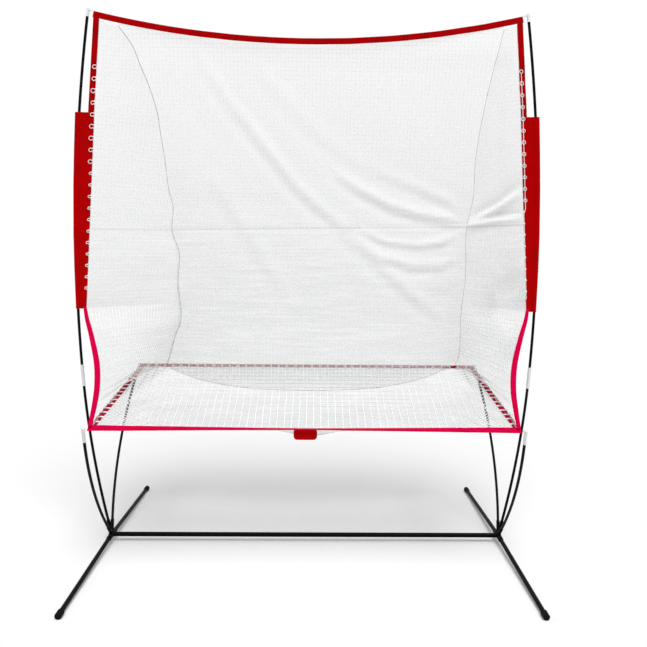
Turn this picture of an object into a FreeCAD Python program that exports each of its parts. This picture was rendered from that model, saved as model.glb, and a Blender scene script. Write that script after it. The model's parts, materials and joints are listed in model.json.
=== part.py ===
import FreeCAD, Part
import math
import os
import Sketcher
from FreeCAD import Placement, Rotation, Vector

# A bow-frame catch net: a steel base of two hubs, a crossbar and four legs carries six bent
# fibreglass poles. The two tall poles hold up a white net in a red border, and the four short
# ones hold out the corners of a shallow tray that catches the ball.
#
# Frame: X to the right, Y to the back, Z up. The origin is on the floor at the middle of the
# base, midway between the four feet. All lengths are millimetres, all angles degrees.

SIZES = (
    # base
    ("hub_half_spacing", 1033.0),
    ("hub_height", 40.0),
    ("leg_tube_diameter", 21.3),
    ("leg_tube_wall", 2.0),
    ("leg_tube_length", 806.0),
    ("leg_start", 10.0),
    ("leg_socket_diameter", 26.5),
    ("leg_socket_length", 62.0),
    ("leg_socket_depth", 53.0),
    ("crossbar_diameter", 24.0),
    ("crossbar_wall", 1.5),
    ("crossbar_spigot_length", 80.0),
    ("spigot_wall", 1.8),
    ("socket_clearance", 0.1),
    ("joint_gap", 0.3),
    # rubber feet
    ("foot_diameter", 30.0),
    ("foot_length", 42.0),
    ("foot_end_thickness", 4.5),
    ("foot_rounding", 5.0),
    ("foot_flat_depth", 0.5),
    # snap buttons that lock the tubes
    ("button_diameter", 6.0),
    ("button_hole_clearance", 0.2),
    ("button_proud", 2.5),
    ("button_rounding", 1.5),
    ("button_from_hub", 40.0),
    ("crossbar_button_from_end", 40.0),
    ("clip_thickness", 0.8),
    ("clip_width", 6.0),
    ("clip_arm_length", 26.0),
    ("clip_height", 15.9),
    ("clip_tail", 8.0),
    # fibreglass poles and their steel sockets on the hub
    ("pole_diameter", 14.0),
    ("pole_clearance", 0.15),
    ("pole_socket_diameter", 18.2),
    ("pole_socket_length", 80.0),
    ("pole_socket_floor", 32.0),
    ("lower_section_length", 788.0),
    ("middle_section_length", 900.0),
    ("main_pole_lean", 12.8),
    ("lower_section_radius", 5000.0),
    ("middle_section_radius", 8500.0),
    ("front_pole_bend", 7.7),
    ("rear_pole_bend", 9.7),
    ("ferrule_diameter", 17.5),
    ("ferrule_length", 112.0),
    # pale end caps that hold the net's corner loops
    ("tip_diameter", 15.6),
    ("tip_cup_depth", 16.0),
    ("tip_neck_diameter", 10.0),
    ("tip_neck_width", 5.0),
    ("tip_head_length", 6.0),
    ("tip_rounding", 2.5),
    ("loop_cord_diameter", 3.0),
    ("loop_clearance", 0.3),
    # red webbing border
    ("band_width", 30.0),
    ("band_thickness", 2.0),
    ("sewing_gap", 0.3),
    ("net_top_half_width", 1067.0),
    ("net_top_height", 2722.0),
    ("top_band_sag", 118.0),
    ("top_pole_outboard", 27.0),
    ("top_pole_drop", 12.0),
    ("sleeve_top_height", 2232.0),
    ("sleeve_bottom_height", 1245.0),
    ("sleeve_hem_top", 1074.0),
    ("sleeve_hem_bottom", 1138.0),
    ("sleeve_hem_thickness", 2.0),
    ("sleeve_wall", 1.3),
    ("lower_band_bulge", 62.0),
    ("lower_band_setback", 4.0),
    # tray
    ("tray_half_width", 987.0),
    ("tray_half_depth", 518.0),
    ("tray_front_height", 743.0),
    ("tray_rear_height", 871.0),
    ("tray_pole_outboard", 21.0),
    ("tray_pole_drop", 53.0),
    ("tray_pole_setback", 24.0),
    ("tray_low_height", 650.0),
    ("tray_low_half_width", 700.0),
    ("tray_low_depth", 150.0),
    # white netting and its cords
    ("net_thickness", 3.0),
    ("net_setback", 5.0),
    ("strand_width", 7.0),
    ("back_mesh", 122.0),
    ("side_mesh", 76.0),
    ("tray_mesh", 94.0),
    ("back_mid_height", 1700.0),
    ("back_mid_depth", 295.0),
    ("back_mid_half_width", 815.0),
    ("back_top_half_width", 945.0),
    ("back_shoulder_height", 2540.0),
    ("back_bottom_half_width", 835.0),
    ("seam_low_depth", 228.0),
    ("seam_low_half_width", 400.0),
    ("seam_cord_diameter", 3.5),
    ("cord_turn", 8.0),
    ("lacing_cord_diameter", 2.0),
    ("lacing_pitch", 58.0),
    ("lacing_reach", 9.0),
    ("lacing_bottom", 1310.0),
    ("lacing_top", 2520.0),
    # bare patch that hangs under the front of the tray
    ("patch_width", 108.0),
    ("patch_height", 54.0),
    ("patch_thickness", 1.5),
    ("patch_rounding", 12.0),
    ("patch_setback", 2.0),
)

doc = FreeCAD.newDocument("catch_net")
sheet = doc.addObject("Spreadsheet::Sheet", "Sizes")
for row, (alias, value) in enumerate(SIZES, start=1):
    sheet.set(f"A{row}", alias.replace("_", " "))
    sheet.set(f"B{row}", str(value))
    sheet.setAlias(f"B{row}", alias)
doc.recompute()


def size(alias):
    return float(sheet.get(alias))


SIDES = (("left", -1), ("right", 1))
UP = Vector(0, 0, 1)
pieces = {}


def keep(label, feature):
    """Give a finished sub-part its name and list it for export."""
    feature.Label = label
    pieces[label] = feature
    return feature


# ---------------------------------------------------------------- directions and arcs

def frame(origin, x_axis, z_axis):
    """A placement whose own Z runs along z_axis and whose X runs along x_axis."""
    return Placement(origin, Rotation(x_axis, z_axis.cross(x_axis), z_axis, "ZXY"))


def along(origin, direction):
    """A placement whose own Z runs along direction."""
    return Placement(origin, Rotation(UP, direction))


def unit(vector):
    return Vector(vector).normalize()


class Arc:
    """A circular arc that leaves start along heading and passes through end."""

    def __init__(self, start, heading, end):
        span = end - start
        heading = unit(heading)
        inward = unit(span - heading * span.dot(heading))
        self.radius = span.dot(span) / (2 * span.dot(inward))
        self.centre = start + inward * self.radius
        self.out = inward * -1
        self.heading = heading
        self.axis = self.out.cross(heading)
        self.angle = 2 * math.atan2(span.dot(inward), span.dot(heading))
        self.length = self.radius * self.angle

    def point(self, run):
        turn = run / self.radius
        return self.centre + (self.out * math.cos(turn) + self.heading * math.sin(turn)) * self.radius

    def tangent(self, run):
        turn = run / self.radius
        return self.heading * math.cos(turn) - self.out * math.sin(turn)

    def placement(self, run):
        """The arc's own frame: origin at its centre, X towards the point at run."""
        return frame(self.centre, unit(self.point(run) - self.centre), self.axis)


def arc_by_radius(start, heading, inward, radius, length):
    """The arc that leaves start along heading and bends towards inward."""
    turn = length / radius
    end = start + heading * (radius * math.sin(turn)) + inward * (radius * (1 - math.cos(turn)))
    return Arc(start, heading, end)


def arc_through(start, middle, end):
    """The arc through three points."""
    first, second = middle - start, end - start
    normal = first.cross(second)
    to_centre = (second * first.dot(first) - first * second.dot(second)).cross(normal)
    centre = start + to_centre * (1 / (2 * normal.dot(normal)))
    heading = normal.cross(start - centre)
    return Arc(start, heading, end)


# ---------------------------------------------------------------- sketches and bodies

def new_sketch(body, role, name):
    """A sketch on one of the body's own origin planes."""
    sketch = body.newObject("Sketcher::SketchObject", name)
    plane = next(item for item in body.Origin.OriginFeatures if item.Role == role)
    sketch.AttachmentSupport = (plane, [""])
    sketch.MapMode = "FlatFace"
    return sketch


def add_circle(sketch, diameter, reach=0.0):
    """A circle on the sketch's X axis, at reach from the origin, with a bound diameter."""
    index = sketch.addGeometry(Part.Circle(Vector(reach, 0, 0), UP, 1.0), False)
    bound = sketch.addConstraint(Sketcher.Constraint("Diameter", index, 2.0))
    sketch.setExpression(f"Constraints[{bound}]", diameter)
    if reach:
        sketch.addConstraint(Sketcher.Constraint("DistanceX", -1, 1, index, 3, reach))
        sketch.addConstraint(Sketcher.Constraint("PointOnObject", index, 3, -1))
    else:
        sketch.addConstraint(Sketcher.Constraint("Coincident", index, 3, -1, 1))


def add_rectangle(sketch, width, height, reach=0.0):
    """A rectangle centred on the sketch's X axis, with bound width and height."""
    corners = [Vector(reach + dx, dy, 0) for dx, dy in ((-1, -1), (1, -1), (1, 1), (-1, 1))]
    first = sketch.GeometryCount
    for number in range(4):
        sketch.addGeometry(Part.LineSegment(corners[number], corners[(number + 1) % 4]), False)
    for number in range(4):
        following = first + (number + 1) % 4
        sketch.addConstraint(Sketcher.Constraint("Coincident", first + number, 2, following, 1))
        kind = "Horizontal" if number % 2 == 0 else "Vertical"
        sketch.addConstraint(Sketcher.Constraint(kind, first + number))
    centre = sketch.addGeometry(Part.Point(Vector(reach, 0, 0)), True)
    sketch.addConstraint(Sketcher.Constraint("Symmetric", first, 1, first + 2, 1, centre, 1))
    if reach:
        sketch.addConstraint(Sketcher.Constraint("DistanceX", -1, 1, centre, 1, reach))
        sketch.addConstraint(Sketcher.Constraint("PointOnObject", centre, 1, -1))
    else:
        sketch.addConstraint(Sketcher.Constraint("Coincident", centre, 1, -1, 1))
    wide = sketch.addConstraint(Sketcher.Constraint("DistanceX", first, 1, first, 2, 2.0))
    sketch.setExpression(f"Constraints[{wide}]", width)
    tall = sketch.addConstraint(Sketcher.Constraint("DistanceY", first + 1, 1, first + 1, 2, 2.0))
    sketch.setExpression(f"Constraints[{tall}]", height)


def add_outline(sketch, points):
    """A closed outline of straight lines through the points."""
    first = sketch.GeometryCount
    count = len(points)
    corners = [Vector(x, y, 0) for x, y in points]
    for number in range(count):
        sketch.addGeometry(Part.LineSegment(corners[number], corners[(number + 1) % count]), False)
    for number in range(count):
        following = first + (number + 1) % count
        sketch.addConstraint(Sketcher.Constraint("Coincident", first + number, 2, following, 1))
        sketch.addConstraint(Sketcher.Constraint("Block", first + number))


def pad(body, sketch, length, both_ways=False):
    """Pad a sketch by a bound length."""
    feature = body.newObject("PartDesign::Pad", "Pad")
    feature.Profile = (sketch, [""])
    feature.setExpression("Length", length)
    feature.SideType = "Symmetric" if both_ways else "One side"
    return feature


def revolve(body, sketch, angle):
    """Turn a sketch about its own vertical axis."""
    feature = body.newObject("PartDesign::Revolution", "Revolution")
    feature.Profile = (sketch, [""])
    feature.ReferenceAxis = (sketch, ["V_Axis"])
    feature.Angle = angle
    return feature


def straight_tube(name, outer, bore, length, placement):
    """A straight round tube along its own Z."""
    body = doc.addObject("PartDesign::Body", name)
    sketch = new_sketch(body, "XY_Plane", "ring")
    add_circle(sketch, outer)
    add_circle(sketch, bore)
    pad(body, sketch, length)
    body.Placement = placement
    return body


def bent_rod(name, outer, arc, start, length, bore=None, plug=None):
    """A rod or tube bent along an arc, with a straight plug before its start if one is given."""
    body = doc.addObject("PartDesign::Body", name)
    sketch = new_sketch(body, "XZ_Plane", "section")
    add_circle(sketch, outer, arc.radius)
    if bore:
        add_circle(sketch, bore, arc.radius)
    revolve(body, sketch, math.degrees(length / arc.radius))
    if plug:
        straight = new_sketch(body, "XZ_Plane", "plug_section")
        add_circle(straight, outer, arc.radius)
        pad(body, straight, plug)
    body.Placement = arc.placement(start)
    return body


def bent_strip(name, arc, start, length):
    """A webbing strip lying in the plane of its arc."""
    body = doc.addObject("PartDesign::Body", name)
    sketch = new_sketch(body, "XZ_Plane", "section")
    add_rectangle(sketch, "Sizes.band_width", "Sizes.band_thickness", arc.radius)
    revolve(body, sketch, math.degrees(length / arc.radius))
    body.Placement = arc.placement(start)
    return body


def flat_strip(name, start, end, face_normal):
    """A straight webbing strip from start to end, facing face_normal."""
    body = doc.addObject("PartDesign::Body", name)
    sketch = new_sketch(body, "XY_Plane", "section")
    add_rectangle(sketch, "Sizes.band_width", "Sizes.band_thickness")
    feature = pad(body, sketch, "Sizes.band_width")
    feature.setExpression("Length", None)
    feature.Length = (end - start).Length
    run = unit(end - start)
    body.Placement = frame(start, face_normal.cross(run) * -1, run)
    return body


def cylinder(name, radius, height, placement):
    """A Part cylinder with bound sizes."""
    feature = doc.addObject("Part::Cylinder", name)
    feature.setExpression("Radius", radius)
    feature.setExpression("Height", height)
    feature.Placement = placement
    return feature


def fused(name, shapes):
    feature = doc.addObject("Part::MultiFuse", name)
    feature.Shapes = shapes
    feature.Refine = True
    return feature


def cut(name, base, tool):
    feature = doc.addObject("Part::Cut", name)
    feature.Base = base
    feature.Tool = tool
    return feature


def solid_feature(label, shape):
    """A soft piece whose shape is worked out from the sizes in this file."""
    feature = doc.addObject("Part::Feature", label)
    feature.Shape = shape
    return keep(label, feature)


# ---------------------------------------------------------------- places that pieces share

def hub_centre(side):
    return Vector(side * size("hub_half_spacing"), 0, size("hub_height"))


def leg_direction(front):
    """Down from the hub to a foot that meets the floor with a small flat."""
    rest_height = size("foot_diameter") / 2 - size("foot_flat_depth")
    reach = (size("leg_start") + size("leg_tube_length") + size("foot_end_thickness")
             - size("foot_rounding"))
    slope = math.asin((size("hub_height") - rest_height) / reach)
    return Vector(0, front * math.cos(slope), -math.sin(slope))


def tray_height(depth):
    """Height of the tray's border plane at a depth from the middle."""
    share = (depth / size("tray_half_depth") + 1) / 2
    return size("tray_front_height") + share * (size("tray_rear_height") - size("tray_front_height"))


TRAY_SLOPE = math.atan2(size("tray_rear_height") - size("tray_front_height"),
                        2 * size("tray_half_depth"))
TRAY_BACKWARD = Vector(0, math.cos(TRAY_SLOPE), math.sin(TRAY_SLOPE))
TRAY_NORMAL = Vector(0, -math.sin(TRAY_SLOPE), math.cos(TRAY_SLOPE))
BAND = size("band_width")
BAND_T = size("band_thickness")
GAP = size("sewing_gap")


def top_corner(side):
    """Middle of the top band's end."""
    return Vector(side * (size("net_top_half_width") - BAND / 2), 0, size("net_top_height") - BAND / 2)


def tray_corner(side, front):
    """Outer corner of the tray's border."""
    depth = front * size("tray_half_depth")
    return Vector(side * size("tray_half_width"), depth, tray_height(depth))


def inboard(point, side, distance):
    return point - Vector(side * distance, 0, 0)


class Pole:
    """A pole's route: straight in its hub socket, then tangent arcs to its tip."""

    def __init__(self, heading, arcs, held_corner):
        self.heading = heading
        self.arcs = arcs
        self.end = arcs[-1].point(arcs[-1].length)
        self.tip_heading = arcs[-1].tangent(arcs[-1].length)
        self.held_corner = held_corner
        self.neck_at = (held_corner - self.end).dot(self.tip_heading)


def main_pole(side):
    """A tall pole in three sections, bent most near its foot."""
    lean = math.radians(size("main_pole_lean"))
    heading = Vector(side * math.sin(lean), 0, math.cos(lean))
    inward = Vector(-side * math.cos(lean), 0, math.sin(lean))
    mouth = hub_centre(side) + heading * size("pole_socket_length")
    lower = arc_by_radius(mouth, heading, inward, size("lower_section_radius"),
                          size("lower_section_length"))
    joint, heading_there = lower.point(lower.length), lower.tangent(lower.length)
    middle = arc_by_radius(joint, heading_there, unit(lower.centre - joint),
                           size("middle_section_radius"), size("middle_section_length"))
    corner = Vector(side * size("net_top_half_width"), 0, size("net_top_height"))
    end = corner + Vector(side * size("top_pole_outboard"), 0, -size("top_pole_drop"))
    upper = Arc(middle.point(middle.length), middle.tangent(middle.length), end)
    return Pole(heading, (lower, middle, upper), corner)


def tray_pole(side, front):
    """A short pole that holds out one corner of the tray."""
    corner = tray_corner(side, front)
    end = corner + Vector(side * size("tray_pole_outboard"), -front * size("tray_pole_setback"),
                          -size("tray_pole_drop"))
    bulge = Vector(0.3 * side, -1, 0) if front < 0 else Vector(0.8 * side, 0.6, 0)
    turn = math.radians(size("front_pole_bend") if front < 0 else size("rear_pole_bend"))
    chord = unit(end - hub_centre(side))
    outward = unit(bulge - chord * bulge.dot(chord))
    heading = chord * math.cos(turn) + outward * math.sin(turn)
    mouth = hub_centre(side) + heading * size("pole_socket_length")
    return Pole(heading, (Arc(mouth, heading, end),), corner)


TRAY_POLES = (("front", -1), ("rear", 1))
POLES = {}
for word, side in SIDES:
    POLES["main", word] = main_pole(side)
    for place, front in TRAY_POLES:
        POLES[place, word] = tray_pole(side, front)


# ---------------------------------------------------------------- snap buttons

CLIP_TOP = size("clip_height") / 2
CLIP_INNER = CLIP_TOP - size("clip_thickness")
BUTTON_HOLE = "Sizes.button_diameter / 2 + Sizes.button_hole_clearance"


def button_top():
    """Height of a locked button over its tube's axis: just proud of the outer tube."""
    return size("leg_socket_diameter") / 2 + size("button_proud")


def snap_button(label, placement):
    """A domed head on the upper arm of its clip; its own Z is the way it pops out."""
    body = doc.addObject("PartDesign::Body", label)
    head = new_sketch(body, "XY_Plane", "head")
    head.AttachmentOffset = Placement(Vector(0, 0, CLIP_INNER), Rotation())
    add_circle(head, "Sizes.button_diameter")
    post = pad(body, head, "Sizes.leg_socket_diameter / 2 + Sizes.button_proud"
               " - Sizes.clip_height / 2 + Sizes.clip_thickness")
    doc.recompute()
    rim = max(range(len(post.Shape.Edges)), key=lambda item: post.Shape.Edges[item].CenterOfMass.z)
    dome = body.newObject("PartDesign::Fillet", "Dome")
    dome.Base = (post, [f"Edge{rim + 1}"])
    dome.setExpression("Radius", "Sizes.button_rounding")
    arm = new_sketch(body, "XY_Plane", "arm")
    arm.AttachmentOffset = Placement(Vector(0, 0, CLIP_INNER), Rotation())
    half = size("clip_width") / 2
    far = size("clip_arm_length")
    add_outline(arm, ((-half, -half), (far, -half), (far, half), (-half, half)))
    pad(body, arm, "Sizes.clip_thickness")
    body.Placement = placement
    return keep(label, body)


def clip_shape(placement):
    """The fixed bend and lower arm of a snap button's clip, bent from one strip."""
    outer, inner = CLIP_TOP, CLIP_INNER
    bend = size("clip_arm_length") + size("joint_gap")
    tail = -size("clip_tail")
    upper = [Vector(bend, 0, outer), Vector(bend + outer, 0, 0), Vector(bend, 0, -outer)]
    lower = [Vector(bend, 0, -inner), Vector(bend + inner, 0, 0), Vector(bend, 0, inner)]
    edges = [
        Part.Arc(*upper).toShape(),
        Part.LineSegment(upper[2], Vector(tail, 0, -outer)).toShape(),
        Part.LineSegment(Vector(tail, 0, -outer), Vector(tail, 0, -inner)).toShape(),
        Part.LineSegment(Vector(tail, 0, -inner), lower[0]).toShape(),
        Part.Arc(*lower).toShape(),
        Part.LineSegment(lower[2], upper[0]).toShape(),
    ]
    width = size("clip_width")
    side_face = Part.Face(Part.Wire(edges))
    side_face.translate(Vector(0, -width / 2, 0))
    clip = side_face.extrude(Vector(0, width, 0))
    clip.Placement = placement
    return clip


CLIPS = []


def lock(label, centre, tube_axis, pop_out):
    """A snap button and its clip at centre, the clip's bend along tube_axis."""
    placement = frame(centre, tube_axis, pop_out)
    snap_button(label, placement)
    CLIPS.append(clip_shape(placement))


def button_drill(name, centre, pop_out):
    """The round hole that a button pops through."""
    return cylinder(name, BUTTON_HOLE, "Sizes.leg_socket_diameter", along(centre, pop_out))


# ---------------------------------------------------------------- legs and feet

def make_leg(word, side, place, front):
    centre = hub_centre(side)
    heading = leg_direction(front)
    bore = "Sizes.leg_tube_diameter - 2 * Sizes.leg_tube_wall"
    start = centre + heading * size("leg_start")
    tube = straight_tube(f"{place}_leg_{word}_tube", "Sizes.leg_tube_diameter", bore,
                         "Sizes.leg_tube_length", along(start, heading))
    button = centre + heading * size("button_from_hub")
    outward = Vector(side, 0, 0)
    hole = button_drill(f"{place}_leg_{word}_hole", button, outward)
    keep(f"{place}_leg_{word}", cut(f"{place}_leg_{word}", tube, hole))
    lock(f"{place}_leg_button_{word}", button, heading, outward)


def make_foot(word, side, place, front):
    """A round rubber cap on the leg's end, worn flat where it meets the floor."""
    body = doc.addObject("PartDesign::Body", f"{place}_foot_{word}_cap")
    sketch = new_sketch(body, "XZ_Plane", "half_section")
    outer = size("foot_diameter") / 2
    bore = size("leg_tube_diameter") / 2 + size("socket_clearance")
    mouth = size("foot_end_thickness") - size("foot_length")
    add_outline(sketch, ((0, 0), (0, size("foot_end_thickness")), (outer, size("foot_end_thickness")),
                         (outer, mouth), (bore, mouth), (bore, 0)))
    turned = revolve(body, sketch, 360)
    doc.recompute()
    edges = turned.Shape.Edges
    end_rim = max(range(len(edges)), key=lambda item: edges[item].BoundBox.ZMin + edges[item].Length)
    rounding = body.newObject("PartDesign::Fillet", "Rounding")
    rounding.Base = (turned, [f"Edge{end_rim + 1}"])
    rounding.setExpression("Radius", "Sizes.foot_rounding")
    heading = leg_direction(front)
    leg_end = size("leg_start") + size("leg_tube_length") + size("socket_clearance")
    body.Placement = along(hub_centre(side) + heading * leg_end, heading)
    floor = doc.addObject("Part::Box", f"{place}_foot_{word}_floor")
    floor.Length = floor.Width = floor.Height = 4 * size("foot_length")
    under = hub_centre(side) + heading * leg_end
    floor.Placement = Placement(Vector(under.x - 2 * size("foot_length"),
                                       under.y - 2 * size("foot_length"),
                                       -4 * size("foot_length")), Rotation())
    keep(f"{place}_foot_{word}", cut(f"{place}_foot_{word}", body, floor))


# ---------------------------------------------------------------- hubs and crossbar

SPIGOT_RADIUS = "Sizes.crossbar_diameter / 2 - Sizes.crossbar_wall - Sizes.socket_clearance"
SPIGOT_BORE = SPIGOT_RADIUS + " - Sizes.spigot_wall"


def hub_spigot_start():
    """Inner face of the hub's leg sockets, where the crossbar's tube butts."""
    return size("leg_socket_diameter") / 2 + size("joint_gap")


def hub_button_place(side):
    reach = hub_spigot_start() + size("crossbar_button_from_end")
    return inboard(hub_centre(side), side, reach)


def make_hub(word, side):
    """Two leg sockets, a crossbar spigot and three pole sockets, welded into one piece."""
    centre = hub_centre(side)
    inward = Vector(-side, 0, 0)
    tubes = []
    bores = []
    for place, front in TRAY_POLES:
        heading = leg_direction(front)
        tubes.append(cylinder(f"hub_{word}_{place}_socket", "Sizes.leg_socket_diameter / 2",
                              "Sizes.leg_socket_length", along(centre, heading)))
        floor = centre + heading * (size("leg_socket_length") - size("leg_socket_depth"))
        bores.append(cylinder(f"hub_{word}_{place}_bore",
                              "Sizes.leg_tube_diameter / 2 + Sizes.socket_clearance",
                              "Sizes.leg_socket_length", along(floor, heading)))
        button = centre + heading * size("button_from_hub")
        bores.append(button_drill(f"hub_{word}_{place}_hole", button, Vector(side, 0, 0)))
    core = doc.addObject("Part::Sphere", f"hub_{word}_core")
    core.setExpression("Radius", "Sizes.leg_socket_diameter / 2")
    core.Placement = Placement(centre, Rotation())
    tubes.append(core)
    tubes.append(cylinder(f"hub_{word}_spigot", SPIGOT_RADIUS,
                          "Sizes.leg_socket_diameter / 2 + Sizes.joint_gap"
                          " + Sizes.crossbar_spigot_length", along(centre, inward)))
    spigot_floor = inboard(centre, side, size("leg_socket_diameter") / 2)
    bores.append(cylinder(f"hub_{word}_spigot_bore", SPIGOT_BORE, "2 * Sizes.crossbar_spigot_length",
                          along(spigot_floor, inward)))
    bores.append(button_drill(f"hub_{word}_spigot_hole", hub_button_place(side), Vector(0, 1, 0)))
    for place in ("main", "front", "rear"):
        heading = POLES[place, word].heading
        tubes.append(cylinder(f"hub_{word}_{place}_pole_socket", "Sizes.pole_socket_diameter / 2",
                              "Sizes.pole_socket_length", along(centre, heading)))
        floor = centre + heading * size("pole_socket_floor")
        bores.append(cylinder(f"hub_{word}_{place}_pole_bore",
                              "Sizes.pole_diameter / 2 + Sizes.pole_clearance",
                              "Sizes.pole_socket_length", along(floor, heading)))
    keep(f"hub_{word}", cut(f"hub_{word}", fused(f"hub_{word}_weld", tubes),
                            fused(f"hub_{word}_bores", bores)))
    lock(f"crossbar_button_{word}", hub_button_place(side), Vector(side, 0, 0), Vector(0, 1, 0))


def half_crossbar(word, side):
    """Half of the crossbar; the left one has the swaged spigot that enters the right one."""
    height = size("hub_height")
    outer_end = size("hub_half_spacing") - hub_spigot_start()
    inner_end = 0 if side < 0 else size("joint_gap")
    tube = straight_tube(f"crossbar_{word}_tube", "Sizes.crossbar_diameter",
                         "Sizes.crossbar_diameter - 2 * Sizes.crossbar_wall", "Sizes.hub_half_spacing",
                         along(Vector(side * inner_end, 0, height), Vector(side, 0, 0)))
    length = tube.Tip
    length.setExpression("Length", None)
    length.Length = outer_end - inner_end
    shapes = [tube]
    if side < 0:
        swage = size("crossbar_diameter")
        spigot = straight_tube("crossbar_left_spigot", "2 * (" + SPIGOT_RADIUS + ")",
                               "2 * (" + SPIGOT_BORE + ")",
                               "Sizes.crossbar_spigot_length + Sizes.crossbar_diameter",
                               along(Vector(-swage, 0, height), Vector(1, 0, 0)))
        collar = straight_tube("crossbar_left_swage",
                               "Sizes.crossbar_diameter - Sizes.crossbar_wall",
                               "2 * (" + SPIGOT_BORE + ")", "Sizes.crossbar_diameter",
                               along(Vector(-swage, 0, height), Vector(1, 0, 0)))
        shapes += [spigot, collar]
        whole = fused("crossbar_left_whole", shapes)
    else:
        whole = tube
    holes = [button_drill(f"crossbar_{word}_hub_hole", hub_button_place(side), Vector(0, 1, 0)),
             button_drill(f"crossbar_{word}_mid_hole", middle_button_place(), Vector(0, 1, 0))]
    keep(f"crossbar_{word}", cut(f"crossbar_{word}", whole, fused(f"crossbar_{word}_holes", holes)))


def middle_button_place():
    return Vector(size("crossbar_button_from_end"), 0, size("hub_height"))


# ---------------------------------------------------------------- poles, ferrules and tips

SOCKET_PLUG = "Sizes.pole_socket_length - Sizes.pole_socket_floor - Sizes.joint_gap"


def make_main_pole(word):
    """Three sections end to end, joined by two metal ferrules."""
    arcs = POLES["main", word].arcs
    gap = size("joint_gap")
    for place, arc, start, plug in zip(("lower", "middle", "upper"), arcs, (0.0, gap, gap),
                                       (SOCKET_PLUG, None, None)):
        label = f"main_pole_{place}_{word}"
        keep(label, bent_rod(label, "Sizes.pole_diameter", arc, start, arc.length - start, plug=plug))
    half = size("ferrule_length") / 2
    for place, below, above in (("lower", arcs[0], arcs[1]), ("upper", arcs[1], arcs[2])):
        label = f"{place}_ferrule_{word}"
        from_run = below.length - half
        bend = Arc(below.point(from_run), below.tangent(from_run), above.point(half))
        keep(label, bent_rod(label, "Sizes.ferrule_diameter", bend, 0.0, bend.length,
                             bore="Sizes.pole_diameter + 2 * Sizes.pole_clearance"))


def make_tray_pole(place, word):
    arc = POLES[place, word].arcs[0]
    label = f"{place}_pole_{word}"
    keep(label, bent_rod(label, "Sizes.pole_diameter", arc, 0.0, arc.length, plug=SOCKET_PLUG))


def make_tip(label, pole):
    """A cup over the pole's end, with a neck level with the corner that it holds."""
    body = doc.addObject("PartDesign::Body", label)
    sketch = new_sketch(body, "XZ_Plane", "half_section")
    outer = size("tip_diameter") / 2
    bore = size("pole_diameter") / 2 + size("pole_clearance")
    neck = size("tip_neck_diameter") / 2
    low = pole.neck_at - size("tip_neck_width") / 2
    high = pole.neck_at + size("tip_neck_width") / 2
    top = high + size("tip_head_length")
    add_outline(sketch, ((0, GAP), (0, top), (outer, top), (outer, high), (neck, high), (neck, low),
                         (outer, low), (outer, -size("tip_cup_depth")), (bore, -size("tip_cup_depth")),
                         (bore, GAP)))
    turned = revolve(body, sketch, 360)
    doc.recompute()
    edges = turned.Shape.Edges
    rim = max(range(len(edges)), key=lambda item: edges[item].BoundBox.ZMin * 100 + edges[item].Length)
    rounding = body.newObject("PartDesign::Fillet", "Rounding")
    rounding.Base = (turned, [f"Edge{rim + 1}"])
    rounding.setExpression("Radius", "Sizes.tip_rounding")
    body.Placement = along(pole.end, pole.tip_heading)
    return keep(label, body)


def corner_loop(pole):
    """An oval of elastic cord round the tip's neck, reaching to the net's corner."""
    cord = size("loop_cord_diameter") / 2
    neck = pole.end + pole.tip_heading * pole.neck_at
    turn = size("tip_neck_diameter") / 2 + size("loop_clearance") + cord
    reach = (pole.held_corner - neck).Length - size("loop_clearance") - cord - turn
    oval = [Part.Arc(Vector(0, turn, 0), Vector(-turn, 0, 0), Vector(0, -turn, 0)).toShape(),
            Part.LineSegment(Vector(0, -turn, 0), Vector(reach, -turn, 0)).toShape(),
            Part.Arc(Vector(reach, -turn, 0), Vector(reach + turn, 0, 0),
                     Vector(reach, turn, 0)).toShape(),
            Part.LineSegment(Vector(reach, turn, 0), Vector(0, turn, 0)).toShape()]
    path = Part.Wire(oval)
    section = Part.Wire([Part.Circle(Vector(reach / 2, -turn, 0), Vector(1, 0, 0), cord).toShape()])
    halves = []
    for piece in oval:
        start = piece.valueAt(piece.FirstParameter)
        heading = piece.tangentAt(piece.FirstParameter)
        ring = Part.Wire([Part.Circle(start, heading, cord).toShape()])
        halves.append(Part.Wire([piece]).makePipeShell([ring], True, False))
    loop = halves[0].fuse(halves[1:]).removeSplitter()
    loop.Placement = frame(neck, unit(pole.held_corner - neck), pole.tip_heading)
    return loop


# ---------------------------------------------------------------- red webbing

def lower_band_arc(side):
    """From the sleeve's lower hem, drawn inwards, to the tray's front corner."""
    start = Vector(side * (size("sleeve_hem_bottom") + BAND / 2), 0,
                   size("sleeve_bottom_height") - BAND / 2)
    corner = tray_corner(side, -1)
    end = inboard(corner, side, BAND / 2) + UP * (BAND_T / 2 + GAP + BAND / 4)
    end = end + Vector(0, size("lower_band_setback"), 0)
    chord = unit(end - start)
    inward = Vector(-side, -0.1, -0.6)
    inward = unit(inward - chord * inward.dot(chord))
    middle = (start + end) * 0.5 + inward * size("lower_band_bulge")
    return arc_through(start, middle, end)


def top_band_arc():
    left, right = (inboard(top_corner(side), side, -BAND / 2) for side in (-1, 1))
    middle = Vector(0, 0, left.z - size("top_band_sag"))
    return arc_through(left, middle, right)


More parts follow.
